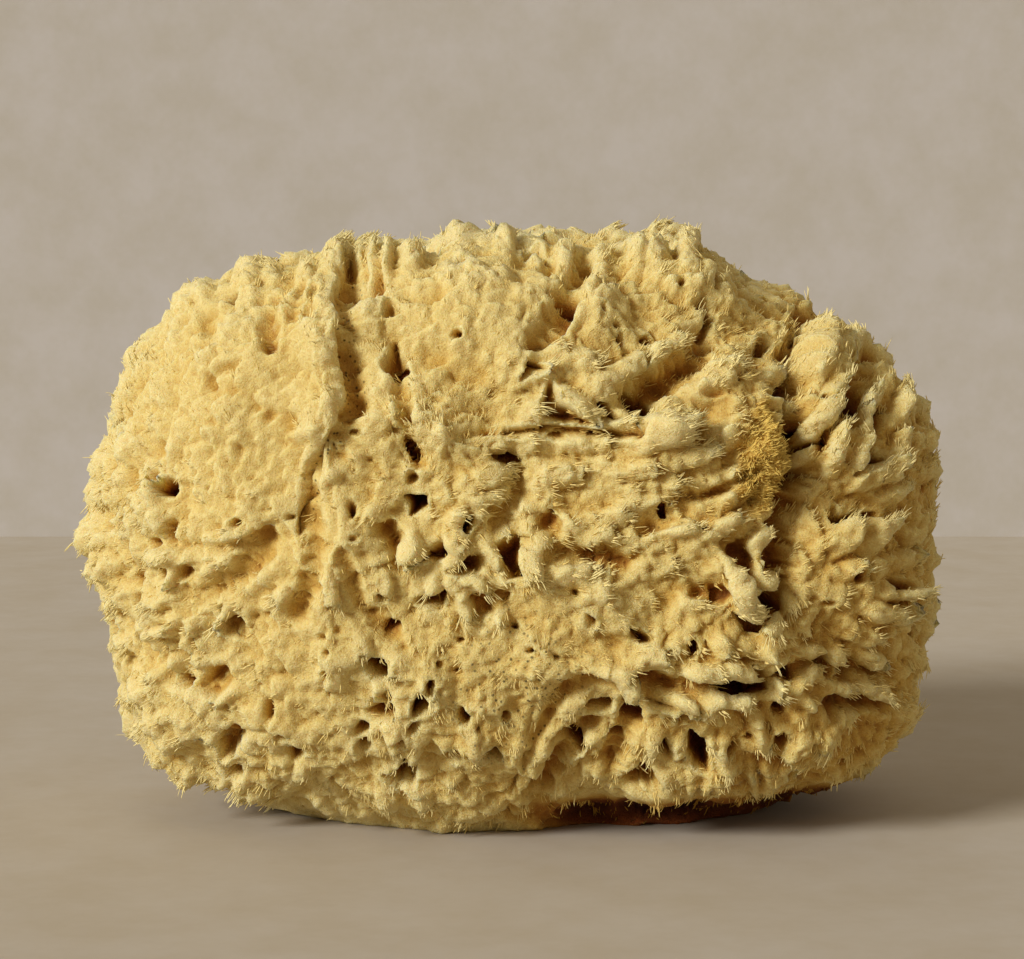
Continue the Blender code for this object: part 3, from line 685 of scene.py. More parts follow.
def unit(vectors: np.ndarray) -> np.ndarray:
    """Each row divided by its own length."""
    return vectors / np.maximum(np.linalg.norm(vectors, axis=-1, keepdims=True), 1e-9)


def lattice_numbers(cells: np.ndarray, seed: int, count: int) -> np.ndarray:
    """Gives each whole-numbered cell of space its own repeatable numbers.

    Args:
        cells: whole-numbered cells, one a row.
        seed: which set of numbers.
        count: how many numbers a cell gets.

    Returns:
        Numbers from 0 to 1, a row for each cell: the cell's x, y and z are
        multiplied by three primes, mixed, and stirred once for each number.
    """
    x, y, z = (cells[..., k].astype(np.int64) for k in range(3))
    mixed = (x * 73856093) ^ (y * 19349663) ^ (z * 83492791) ^ (seed * 2654435761)
    numbers = []
    for k in range(count):
        mixed = ((mixed ^ (mixed >> 15)) * 2246822519 + k * 3266489917) & 0xFFFFFFFF
        mixed = (mixed ^ (mixed >> 13)) * 668265263 & 0xFFFFFFFF
        numbers.append((mixed ^ (mixed >> 16)) & 0xFFFF)
    return np.stack(numbers, axis=-1) / 65535.0


def waves(points: np.ndarray, wavelength: float, seed: int) -> np.ndarray:
    """Smooth noise of about -1 to 1: slopes at the cell corners, blended across each cell.

    Args:
        points: places, in mm.
        wavelength: the size of a cell, in mm.
        seed: which noise.

    Returns:
        One value a place.
    """
    scaled = points / wavelength
    base = np.floor(scaled)
    part = scaled - base
    fade = part**3 * (part * (part * 6 - 15) + 10)
    total = np.zeros(len(points))
    for corner in np.ndindex(2, 2, 2):
        corner = np.array(corner)
        slope = lattice_numbers(base + corner, seed, 3) * 2 - 1
        weight = np.where(corner == 1, fade, 1 - fade).prod(axis=1)
        total += weight * (slope * (part - corner)).sum(axis=1)
    return total * 1.6


def wavy(points: np.ndarray, pattern: Pattern) -> np.ndarray:
    """A pattern's waves times its rise."""
    return pattern.rise * waves(points, pattern.size, pattern.seed)


def swirl(points: np.ndarray, wavelength: float, seed: int) -> np.ndarray:
    """A smooth field of vectors: three waves, one along each axis."""
    return np.stack([waves(points, wavelength, seed + k) for k in range(3)], axis=1)


def lumps(points: np.ndarray, spacing: float, seed: int, reach: float = 0.55) -> np.ndarray:
    """Rounded lumps, one in each cell: e to the minus square of distance over reach.

    Args:
        points: places, in mm.
        spacing: the size of a cell, in mm.
        seed: which set of lumps.
        reach: how wide a lump is, as a share of its cell.

    Returns:
        The height from 0 to 1, one a place.
    """
    scaled = points / spacing
    base = np.floor(scaled)
    nearest = np.full(len(points), 9.0)
    for step in np.ndindex(3, 3, 3):
        cell = base + np.array(step) - 1
        away = np.linalg.norm(cell + lattice_numbers(cell, seed, 3) - scaled, axis=1)
        nearest = np.minimum(nearest, away)
    return np.exp(-((nearest / reach) ** 2))


def shingles(
    points: np.ndarray,
    normals: np.ndarray,
    comb: np.ndarray,
    size: float,
    seed: int,
) -> tuple[np.ndarray, np.ndarray]:
    """Overlapping tufts that all lean the way the comb field runs.

    Each cell of space holds one tuft, shaken from its middle. A tuft rises
    slowly from its root, is highest near its tip, and drops off steeply there;
    across, it is a half ellipse. Where tufts overlap the highest one counts.

    Args:
        points: places on the skin, in mm.
        normals: which way the skin faces there.
        comb: which way the fibres lie there.
        size: spacing of the tufts, in mm.
        seed: which set of tufts.

    Returns:
        The height, from 0 to 1, and how near each place is to a tuft's tip.
    """
    side = np.cross(normals, comb)
    scaled = points / size
    base = np.floor(scaled)
    height = np.zeros(len(points))
    tip = np.zeros(len(points))
    for step in np.ndindex(3, 3, 3):
        cell = base + np.array(step) - 1
        numbers = lattice_numbers(cell, seed, 4)
        away = scaled - cell - numbers[:, :3]
        along = (away * comb).sum(axis=1)
        across = (away * side).sum(axis=1) / 0.52
        sunk = (away * normals).sum(axis=1) / 1.25
        bulk = np.sqrt(np.clip(1 - across**2 - sunk**2, 0, 1))
        lift = smoothstep(-1.0, 0.3, along) * (1 - smoothstep(0.34, 0.56, along))
        own = lift * bulk * (0.6 + 0.4 * numbers[:, 3])
        higher = own > height
        height = np.where(higher, own, height)
        tip = np.where(higher, smoothstep(-0.1, 0.4, along) * bulk, tip)
    return height, tip


def off_path(u: np.ndarray, w: np.ndarray, path: tuple[tuple[float, float], ...]) -> np.ndarray:
    """How far each (u, w) is from the nearest straight run of a path.

    Args:
        u: places across the front, in mm.
        w: their heights, in mm.
        path: the corners of the path.

    Returns:
        The distance to the nearest run, its ends included.
    """
    nearest = np.full(len(u), np.inf)
    for (u0, w0), (u1, w1) in zip(path, path[1:]):
        length = math.hypot(u1 - u0, w1 - w0)
        along = np.clip(((u - u0) * (u1 - u0) + (w - w0) * (w1 - w0)) / length**2, 0, 1)
        off = np.hypot(u - u0 - along * (u1 - u0), w - w0 - along * (w1 - w0))
        nearest = np.minimum(nearest, off)
    return nearest


def beside_path(u: np.ndarray, w: np.ndarray, path: tuple[tuple[float, float], ...]) -> np.ndarray:
    """How far right of a path each (u, w) is, going along it, and left of it as a negative.

    Args:
        u: places across the front, in mm.
        w: their heights, in mm.
        path: the corners of the path, in order.

    Returns:
        The distance to the nearest run, with the sign of the side.
    """
    nearest = np.full(len(u), np.inf)
    side = np.ones(len(u))
    for start, end in zip(path, path[1:]):
        off = off_path(u, w, (start, end))
        right = (u - start[0]) * (end[1] - start[1]) - (w - start[1]) * (end[0] - start[0])
        closer = off < nearest
        nearest = np.where(closer, off, nearest)
        side = np.where(closer, np.sign(right), side)
    return nearest * side


def inside_edge(u: np.ndarray, w: np.ndarray, edge: tuple[tuple[float, float], ...]) -> np.ndarray:
    """How far inside a closed edge each (u, w) is, and outside it as a negative distance.

    Args:
        u: places across the front, in mm.
        w: their heights, in mm.
        edge: the corners of the edge, in order, the last one joined to the first.

    Returns:
        The distance to the edge. A place is inside when a level line from it
        crosses the edge an odd number of times.
    """
    closed = edge + edge[:1]
    crossings = np.zeros(len(u), dtype=bool)
    for (u0, w0), (u1, w1) in zip(closed, closed[1:]):
        spans = (w0 > w) != (w1 > w)
        level = w1 - w0 if w1 != w0 else 1e-9
        crossings ^= spans & (u < (u1 - u0) * (w - w0) / level + u0)
    away = off_path(u, w, closed)
    return np.where(crossings, away, -away)


def turned(
    u: np.ndarray, w: np.ndarray, middle: tuple[float, float], turn: float
) -> tuple[np.ndarray, np.ndarray]:
    """Each (u, w) measured from a middle, along and up from axes turned by some degrees.

    Args:
        u: places across the front, in mm.
        w: their heights, in mm.
        middle: where the axes cross.
        turn: how far the axes are turned, in degrees.

    Returns:
        How far along the first axis and up the second each place is.
    """
    angle = math.radians(turn)
    du, dw = u - middle[0], w - middle[1]
    along = du * math.cos(angle) + dw * math.sin(angle)
    up = dw * math.cos(angle) - du * math.sin(angle)
    return along, up


@dataclass
class Surface:
    """The points of a closed mesh, in mm, and its triangles."""

    points: np.ndarray
    faces: np.ndarray

    def crosses(self) -> np.ndarray:
        """Each triangle's facing, as long as twice its area: the cross product of two sides."""
        a, b, c = (self.points[self.faces[:, k]] for k in range(3))
        return np.cross(b - a, c - a)

    def normals(self) -> np.ndarray:
        """Point normals: the facings of the triangles round each point, summed.

        Returns:
            A unit vector a point.
        """
        facing = self.crosses()
        total = np.zeros_like(self.points)
        for k in range(3):
            for axis in range(3):
                total[:, axis] += np.bincount(
                    self.faces[:, k], weights=facing[:, axis], minlength=len(self.points)
                )
        return unit(total)

    def smoothed(self, values: np.ndarray, rounds: int) -> np.ndarray:
        """Values averaged with those of the points along each edge, some rounds over.

        Args:
            values: one row a point.
            rounds: how many times each point takes its neighbours' mean.

        Returns:
            The averaged values, in the same shape.
        """
        edges = np.concatenate([self.faces[:, [k, (k + 1) % 3]] for k in range(3)])
        one, other = edges[:, 0], edges[:, 1]
        count = np.bincount(one, minlength=len(self.points))
        columns = values.reshape(len(values), -1).copy()
        for _ in range(rounds):
            for k in range(columns.shape[1]):
                total = np.bincount(one, weights=columns[other, k], minlength=len(self.points))
                columns[:, k] = 0.5 * columns[:, k] + 0.5 * total / count
        return columns.reshape(values.shape)


@dataclass
class BoxGrid:
    """The closed grid of points on a box from -1 to 1, twice as fine towards the front.

    The box's sides are cells on a lattice that is counted in half cells. Cells in
    the first rows from the front are split in four. The cells that border on them
    are fanned out from the middle of the shared edge, so the grid stays closed.
    """

    across: int
    deep: int
    high: int
    fine_rows: int
    front_bias: float

    def side(self, axis: int, end: int) -> np.ndarray:
        """The cells of one side of the box: four lattice corners each, facing out.

        Args:
            axis: the axis that the side faces along.
            end: 0 for the side at its low end, 1 for the one at its high end.

        Returns:
            The corners, as cell, corner, axis.
        """
        cells = (self.across, self.deep, self.high)
        first, second = (axis + 1) % 3, (axis + 2) % 3
        a, b = np.meshgrid(
            np.arange(cells[first] + 1), np.arange(cells[second] + 1), indexing="ij"
        )
        node = np.zeros(a.shape + (3,), dtype=np.int64)
        node[..., axis] = cells[axis] * end
        node[..., first], node[..., second] = a, b
        corners = [node[:-1, :-1], node[1:, :-1], node[1:, 1:], node[:-1, 1:]]
        if not end:
            corners.reverse()
        return np.stack(corners, axis=2).reshape(-1, 4, 3) * 2

    def quartered(self, cells: np.ndarray) -> np.ndarray:
        """Each cell as four: one at each corner, out to the middles of its edges.

        Args:
            cells: four lattice corners each.

        Returns:
            Four cells for each one, in the same form.
        """
        middle = cells.sum(axis=1) // 4
        quarters = []
        for k in range(4):
            corner = cells[:, k]
            ahead = (corner + cells[:, (k + 1) % 4]) // 2
            behind = (corner + cells[:, (k + 3) % 4]) // 2
            quarters.append(np.stack([corner, ahead, middle, behind], axis=1))
        return np.concatenate(quarters)

    def halved(self, cells: np.ndarray) -> np.ndarray:
        """Each cell as two triangles."""
        return np.concatenate([cells[:, [0, 1, 2]], cells[:, [0, 2, 3]]])

    def build(self) -> Surface:
        """The whole box as triangles, with shared points at its edges.

        Returns:
            The box from -1 to 1. Its points are spread by a tangent, so that they
            are even once the box is rounded, and drawn towards the front.
        """
        cells = np.concatenate([self.side(axis, end) for axis in range(3) for end in (0, 1)])
        rim = 2 * self.fine_rows
        fine = (cells[..., 1] <= rim).all(axis=1)
        triangles = [self.halved(self.quartered(cells[fine]))]
        coarse = cells[~fine]
        borders = np.zeros(len(coarse), dtype=bool)
        for k in range(4):
            a, b, c, d = (coarse[:, (k + step) % 4] for step in range(4))
            on = (a[:, 1] == rim) & (b[:, 1] == rim)
            borders |= on
            middle = (a + b) // 2
            for one, other in ((b, c), (c, d), (d, a)):
                triangles.append(np.stack([middle, one, other], axis=1)[on])
        triangles.append(self.halved(coarse[~borders]))
        nodes = np.concatenate(triangles)
        rows, columns = 2 * self.across + 1, 2 * self.deep + 1
        codes, flat = np.unique(
            nodes @ np.array([1, rows, rows * columns]), return_inverse=True
        )
        node = np.stack([codes % rows, codes // rows % columns, codes // (rows * columns)], axis=1)
        share = node / (2 * np.array([self.across, self.deep, self.high]))
        share[:, 1] = share[:, 1] * (1 - self.front_bias) + share[:, 1] ** 2 * self.front_bias
        return Surface(np.tan(math.pi / 4 * (share * 2 - 1)), flat.reshape(-1, 3))


@dataclass
class SpongeForm:
    """The sponge's form: a rounded block with the outline and features of the front."""

    broad: Pattern = Pattern(24.0, 5, 1.8)
    lobes: Pattern = Pattern(12.5, 11, 3.6)
    knobs: Pattern = Pattern(7.0, 23, 1.2)
    tufts: Pattern = Pattern(4.8, 31, 2.5)
    locks: Pattern = Pattern(2.3, 37, 0.85)
    grains: Pattern = Pattern(2.1, 43, 0.9)
    beads: Pattern = Pattern(1.3, 47, 0.4)
    fine_brow: Pattern = Pattern(1.6, 83, 1.3)
    coarse_brow: Pattern = Pattern(3.1, 89, 0.8)
    finger_wave: Pattern = Pattern(2.1, 109, 0.35)
    fluff: Pattern = Pattern(1.7, 97, 0.5)
    fine_fluff: Pattern = Pattern(1.1, 99, 0.3)
    coarse_fluff: Pattern = Pattern(3.2, 103, 0.4)
    opening_edge: Pattern = Pattern(2.2, 101)
    gold_edge: Pattern = Pattern(3.4, 107, 0.22)
    base_edge: Pattern = Pattern(3.4, 113, 0.9)
    fine_base_edge: Pattern = Pattern(1.6, 127, 0.6)
    lump_level: float = 0.7
    setback: float = 2.0
    undercut: float = 8.0

    def outline_at(self, angle: np.ndarray) -> np.ndarray:
        """The outline's radius in mm at each angle: a smooth closed curve through OUTLINE.

        Args:
            angle: angles in radians, from the right and upwards.

        Returns:
            One radius an angle: a cubic of the four nearest values that passes
            through the middle two.
        """
        radii = np.array(OUTLINE)
        place = np.mod(angle, 2 * math.pi) / (2 * math.pi) * len(radii)
        first = np.floor(place).astype(int)
        t = place - first
        before, here, after, beyond = (radii[(first + k) % len(radii)] for k in (-1, 0, 1, 2))
        return 0.5 * (
            2 * here
            + (after - before) * t
            + (2 * before - 5 * here + 4 * after - beyond) * t**2
            + (3 * here - before - 3 * after + beyond) * t**3
        )

    def blown_up(self, corners: np.ndarray) -> np.ndarray:
        """Points of the box carried to the rounded form in mm.

        Each is first moved to where |x|, |y| and |z| to the power of ROUNDNESS
        add up to 1. Its x and z then give an angle and a share of the outline's
        radius at that angle, and its y a share of half the depth.

        Args:
            corners: points of the box from -1 to 1.

        Returns:
            The points on the rounded form, in mm.
        """
        size = (np.abs(corners) ** ROUNDNESS).sum(axis=1) ** (1 / ROUNDNESS)
        even = corners / size[:, None]
        angle = np.arctan2(even[:, 2] * MIDDLE_HEIGHT, even[:, 0] * OUTLINE[0])
        share = (np.abs(even[:, [0, 2]]) ** ROUNDNESS).sum(axis=1) ** (1 / ROUNDNESS)
        radius = share * self.outline_at(angle)
        return np.stack(
            [
                radius * np.cos(angle),
                even[:, 1] * DEPTH / 2,
                MIDDLE_HEIGHT + radius * np.sin(angle),
            ],
            axis=1,
        )

    def as_seen(self, points: np.ndarray) -> tuple[np.ndarray, np.ndarray]:
        """Where points show on the upright middle plane, looking from the eye: (u, w).

        Args:
            points: places on the sponge, in mm.

        Returns:
            How far across and how high each shows. Both are measured from the eye
            and scaled by the eye's distance over the point's.
        """
        nearer = EYE_DISTANCE / (EYE_DISTANCE + points[:, 1])
        u = EYE_ACROSS + (points[:, 0] - EYE_ACROSS) * nearer
        return u, EYE_HEIGHT + (points[:, 2] - EYE_HEIGHT) * nearer

    def comb(self, points: np.ndarray, normals: np.ndarray, front: np.ndarray) -> np.ndarray:
        """Which way the fibres lie: outwards and on, bent by the fingers near by.

        Args:
            points: places on the smooth form, in mm.
            normals: which way it faces there.
            front: how far each place belongs to the front, from 0 to 1.

        Returns:
            A unit vector along the skin for each place.
        """
        u, w = self.as_seen(points)
        lean = np.stack(
            [points[:, 0] / 75 * 0.9, np.full(len(u), 0.35), (points[:, 2] - 42) / 50], axis=1
        )
        lean += 0.55 * swirl(points, 34.0, 61) + 0.5 * swirl(points, 12.0, 71)
        for finger in FINGERS:
            du, dw = finger.tip[0] - finger.root[0], finger.tip[1] - finger.root[1]
            reach = math.hypot(du, dw)
            near = np.exp(-((off_path(u, w, (finger.root, finger.tip)) / 4.5) ** 2)) * front * 2.2
            lean[:, 0] += near * du / reach
            lean[:, 2] += near * dw / reach
        lean -= normals * (lean * normals).sum(axis=1)[:, None]
        return unit(lean)

    def broad_relief(
        self, points: np.ndarray, u: np.ndarray, w: np.ndarray, front: np.ndarray, calm: np.ndarray
    ) -> np.ndarray:
        """Broad waves, lobes and knobs everywhere, and the swells and channels of the front.

        Args:
            points: places on the smooth form, in mm.
            u: where each shows across the front.
            w: how high each shows.
            front: how far each place belongs to the front, from 0 to 1.
            calm: how far each place belongs to a smooth plate, from 0 to 1.

        Returns:
            The rise in mm: the sum of all, each a bell across its own width.
        """
        lobes, knobs = self.lobes, self.knobs
        bulge = lobes.rise * (lumps(points, lobes.size, lobes.seed) - self.lump_level)
        bulge += knobs.rise * (lumps(points, knobs.size, knobs.seed) - self.lump_level)
        rise = wavy(points, self.broad) + bulge * (1 - 0.6 * calm)
        for swell in SWELLS:
            along, up = turned(u, w, (swell.u, swell.w), swell.turn)
            bell = -((along / swell.wide) ** 2) - (up / swell.high) ** 2
            rise += swell.rise * np.exp(bell) * front
        for channel in CHANNELS:
            near = np.exp(-((off_path(u, w, channel.path) / channel.wide) ** 2))
            rise -= channel.deep * near * front
        return rise

    def fingers(
        self, u: np.ndarray, w: np.ndarray, ragged: np.ndarray
    ) -> tuple[np.ndarray, np.ndarray]:
        """The height and the tip share that the fingers give each place.

        A finger's height grows from its root to its tip and ends there in a
        steep, ragged brow; across it is a half ellipse.

        Args:
            u: places across the front, in mm.
            w: their heights, in mm.
            ragged: how far the brow is moved at each place, in mm.

        Returns:
            The height in mm, and how near each place is to a finger's tip.
        """
        height = np.zeros(len(u))
        tip = np.zeros(len(u))
        for finger in FINGERS:
            du, dw = finger.tip[0] - finger.root[0], finger.tip[1] - finger.root[1]
            length = math.hypot(du, dw)
            along = ((u - finger.root[0]) * du + (w - finger.root[1]) * dw) / length
            across = ((w - finger.root[1]) * du - (u - finger.root[0]) * dw) / length
            left = length - along + ragged
            bulk = np.sqrt(np.clip(1 - (across / (finger.wide / 2)) ** 2, 0, 1))
            lift = smoothstep(-1.5, 0.8 * length, along) * smoothstep(-0.45, 0.35, left)
            own = finger.rise * lift * bulk
            higher = own > height
            height = np.where(higher, own, height)
            tip = np.where(higher, smoothstep(0.55 * length, length, along) * bulk, tip)
        return height, tip

    def openings(self, u: np.ndarray, w: np.ndarray, wobble: np.ndarray) -> np.ndarray:
        """How deep the mouths and pits of the front are at each place.

        An oval's distance is 1 at its edge. The deeper it is, the steeper its wall:
        a shallow one is a bowl. A pit's wall takes up its own width inside the edge.

        Args:
            u: places across the front, in mm.
            w: their heights, in mm.
            wobble: waves that make the edges uneven.

        Returns:
            The depth in mm, the deepest where openings overlap.
        """
        deep = np.zeros(len(u))
        for mouth in MOUTHS:
            along, up = turned(u, w, (mouth.u, mouth.w), mouth.turn)
            away = np.hypot(along / mouth.wide, up / mouth.high) + 0.25 * wobble
            flat = min(0.1 * mouth.deep, 0.5)
            outer = 1.1 + 0.25 / min(mouth.wide, mouth.high)
            deep = np.maximum(deep, mouth.deep * (1 - smoothstep(flat, outer, away)))
        for pit in PITS:
            inside = inside_edge(u, w, pit.edge) + 0.35 * wobble
            deep = np.maximum(deep, pit.deep * smoothstep(-0.45, pit.wall, inside))
        return deep

    def ledges(self, u: np.ndarray, w: np.ndarray, wobble: np.ndarray) -> np.ndarray:
        """How deep the furrows beside the ledges are: steep at the brow, then rising slowly.

        Args:
            u: places across the front, in mm.
            w: their heights, in mm.
            wobble: waves that make the brows uneven.

        Returns:
            The depth in mm.
        """
        deep = np.zeros(len(u))
        for ledge in LEDGES:
            right = beside_path(u, w, ledge.brow) + 0.15 * wobble
            fall = smoothstep(-0.25, 0.75, right)
            rise = smoothstep(0.3 * ledge.wide, ledge.wide, right)
            deep = np.maximum(deep, ledge.deep * fall * (1 - rise))
        return deep

    def hollows(self, points: np.ndarray, wobble: np.ndarray) -> np.ndarray:
        """How deep the openings away from the front are: plugs about lines from the middle.

        Args:
            points: places on the smooth form, in mm.
            wobble: waves that make the edges uneven.

        Returns:
            The depth in mm.
        """
        deep = np.zeros(len(points))
        middle = np.array([0, 0, MIDDLE_HEIGHT])
        for hollow in HOLLOWS + self.small_hollows():
            bearing, climb = math.radians(hollow.across), math.radians(hollow.climb)
            outward = np.array([
                math.sin(bearing) * math.cos(climb),
                -math.cos(bearing) * math.cos(climb),
                math.sin(climb),
            ])
            reach = points - middle
            along = reach @ outward
            off = np.linalg.norm(reach - along[:, None] * outward, axis=1)
            off = np.where(along > 0, off, 99.0)
            own = hollow.deep * (1 - smoothstep(0.6, 1.15, off / hollow.wide + 0.2 * wobble))
            deep = np.maximum(deep, own)
        return deep

    def small_hollows(self) -> tuple[Hollow, ...]:
        """Smaller openings scattered over the back, the sides and the top, from a fixed seed.

        Returns:
            The openings. A wider one is deeper.
        """
        draw = np.random.default_rng(417)
        across = draw.uniform(58, 302, 130)
        climb = draw.uniform(-38, 50, 130)
        top_across = draw.uniform(-180, 180, 34)
        top_climb = draw.uniform(50, 88, 34)
        wide = draw.uniform(0.8, 1.9, 164)
        return tuple(
            Hollow(a, c, r, 2.0 + 2.6 * r)
            for a, c, r in zip(np.append(across, top_across), np.append(climb, top_climb), wide)
        )


@dataclass
class Skin:
    """The sponge's whole skin, from the box grid to the finished relief."""

    form: SpongeForm
    across: int = 128
    deep: int = 49
    high: int = 88
    fine_rows: int = 15
    front_bias: float = 0.25

    def __post_init__(self) -> None:
        """Works out the skin and the values that its finish and its fibres need."""
        grid = BoxGrid(self.across, self.deep, self.high, self.fine_rows, self.front_bias)
        self.surface = grid.build()
        self.surface.points = self.form.blown_up(self.surface.points)
        self.raise_broad_forms()
        self.raise_tufts()
        self.sink_openings()
        self.cut_base()
        self.measure_hollows()

    def raise_broad_forms(self) -> None:
        """Lays the broad relief on the smooth form."""
        smooth = self.surface.points.copy()
        normals = self.surface.normals()
        self.front = np.clip(-normals[:, 1] * 2 + 0.4, 0, 1)
        self.crest = np.clip(-normals[:, 1] * 2 + 1.0, 0, 1)
        self.off_base = smoothstep(-1.2, 2.2, smooth[:, 2])
        self.u, self.w = self.form.as_seen(smooth)
        self.seed_points = smooth
        rise = self.form.broad_relief(smooth, self.u, self.w, self.front, self.calm())
        rise *= self.off_base
        self.surface.points = smooth + normals * rise[:, None]
        self.normal = unit(self.surface.smoothed(self.surface.normals(), 6))
        self.comb = self.form.comb(smooth, self.normal, self.front)

    def raise_tufts(self) -> None:
        """Lays the shingled tufts, the finer locks, the grains and the fingers on the skin."""
        form, at = self.form, self.seed_points
        calm = self.calm()
        grainy = self.grainy()
        tufts, tuft_tip = shingles(at, self.normal, self.comb, form.tufts.size, form.tufts.seed)
        locks, lock_tip = shingles(
            at + 40.0, self.normal, self.comb, form.locks.size, form.locks.seed
        )
        grains = lumps(at, form.grains.size, form.grains.seed)
        ragged = wavy(at, form.fine_brow) + wavy(at, form.coarse_brow)
        finger, finger_tip = form.fingers(self.u, self.w, ragged)
        reach = self.crest * (0.7 + 0.4 * self.front) * (0.65 + 0.35 * smoothstep(2, 16, self.w))
        reach *= 1 - 0.25 * smoothstep(-22, -40, self.u) * smoothstep(60, 45, self.w)
        finger *= reach * (1 + wavy(at, form.finger_wave)) * (1 - 0.75 * self.gold())
        finger_tip *= self.crest
        tuft_rise = form.tufts.rise * (1 - 0.35 * calm) * (1 - 0.7 * grainy)
        own = tufts * (tuft_rise * (1 - 0.35 * self.front))
        height = np.maximum(own, finger) + 0.3 * np.minimum(own, finger)
        fine = form.locks.rise * locks * (1 - 0.5 * grainy)
        fine += form.grains.rise * (grains - 0.4) * grainy
        beads = lumps(at, form.beads.size, form.beads.seed)
        fine += form.beads.rise * beads * np.maximum(grainy, 0.5 * calm)
        fluff = np.abs(wavy(at, form.fluff))
        fluff = fluff + wavy(at, form.fine_fluff) + wavy(at, form.coarse_fluff)
        fine += fluff * (1 - 0.5 * calm)
        self.tip = np.clip(np.maximum(tuft_tip * tufts * (1 - 0.5 * calm), finger_tip), 0, 1)
        self.lock = lock_tip * locks
        push = (0.16 + 0.18 * self.front) * height * self.tip + 0.15 * fine * self.lock
        outward = (height + fine - self.form.setback) * self.off_base
        onward = push * self.off_base
        self.surface.points += self.normal * outward[:, None] + self.comb * onward[:, None]

    def calm(self) -> np.ndarray:
        """Where the skin is a smooth plate: the left and the pale middle of the front."""
        share = sum(area.share(self.u, self.w) for area in SMOOTH_AREAS)
        return np.clip(share, 0, 1) * self.front

    def grainy(self) -> np.ndarray:
        """Where the skin is a felt of fine grains: low on the middle of the front."""
        return GRAINY_AREA.share(self.u, self.w) * self.front

    def sink_openings(self) -> None:
        """Sinks the mouths and pits into the skin, straight back from where they are seen."""
        wobble = wavy(self.seed_points, self.form.opening_edge)
        self.furrow = self.form.ledges(self.u, self.w, wobble)
        floor = np.maximum(self.form.openings(self.u, self.w, wobble), self.furrow)
        shallow = smoothstep(-20, -34, self.u) * (0.3 + 0.28 * smoothstep(48, 60, self.w))
        deep = floor * smoothstep(0.15, 0.7, self.front) * (1 - shallow)
        deep = np.maximum(deep, self.form.hollows(self.seed_points, wobble))
        self.deep_by = deep * smoothstep(0.2, 0.9, self.off_base)
        self.surface.points -= self.normal * self.deep_by[:, None]
        self.tip *= 1 - smoothstep(0.5, 2.0, self.deep_by)

    def cut_base(self) -> None:
        """Cuts the sponge flat at the base, under a lip that hangs over it on the right."""
        points = self.surface.points
        side = self.normal * (1.0, 1.0, 0.0)
        low = smoothstep(8.0, 3.0, points[:, 2]) * smoothstep(-4, 16, points[:, 0])
        ragged = wavy(self.seed_points, self.form.base_edge)
        ragged = ragged + wavy(self.seed_points, self.form.fine_base_edge)
        shift = ragged * smoothstep(6.0, 1.0, points[:, 2]) - self.form.undercut * low
        points += side * shift[:, None]
        points[:, 2] = np.maximum(points[:, 2], 0.0)
        # The undercut's mask later darkens the felt under the lip: painted shade.
        self.under = low

    def measure_hollows(self) -> None:
        """Measures how far each place sinks below the skin near by and farther off, and adds
        painted shade.
        """
        points = self.surface.points
        self.facing = self.surface.normals()
        near = ((self.surface.smoothed(points, 14) - points) * self.normal).sum(axis=1)
        wide = ((self.surface.smoothed(points, 110) - points) * self.normal).sum(axis=1)
        # Painted shade in the felt's colour: darker towards the right, which faces away from the
        # light, darker low on the middle and right of the front, and darkest under the lip that
        # hangs over the base on the right.
        painted_shade = 0.8 * smoothstep(14, 56, self.u) + 3.8 * self.under
        painted_shade += 0.5 * smoothstep(34, 4, self.w) * smoothstep(-35, 0, self.u)
        # Sinking below the surrounding skin makes the colour darker, painted shade in recesses, and
        # standing out makes it paler, painted light on ridges.
        self.hollow = np.clip(0.9 * near + 0.35 * wide + painted_shade, -2, 8)

    def porous(self) -> np.ndarray:
        """Where the felt is thin and shows its pores: the grainy part and the channel's floor."""
        # The pores are put into the colour as dark dots: painted shade inside pores that the skin
        # has no holes for.
        thin = smoothstep(0.5, 3.0, self.furrow) * self.front
        return np.clip(0.05 + self.grainy() + thin, 0, 1)

    def gold(self) -> np.ndarray:
        """The one patch of deeper gold felt beside the cleft, from 0 to 1.

        Returns:
            One value a point: 1 inside an ellipse with an uneven edge, 0 outside it.
        """
        wobble = wavy(self.seed_points, self.form.gold_edge)
        across = (self.u - GOLD_PATCH.u) / GOLD_PATCH.wide
        away = np.hypot(across, (self.w - GOLD_PATCH.w) / GOLD_PATCH.high)
        return (1 - smoothstep(0.82, 1.06, away + wobble)) * self.front


@dataclass
class FibreMesh:
    """Many fibres as one mesh: points in mm, triangles, and each point's painted shade and gold."""

    points: np.ndarray
    faces: np.ndarray
    shade: np.ndarray
    gold: np.ndarray


@dataclass
class Starts:
    """Where many strands start, which way they go and how they bend, one row a strand."""

    root: dict[str, np.ndarray]
    foot: np.ndarray
    lean: np.ndarray
    side: np.ndarray
    up: np.ndarray
    bend: np.ndarray


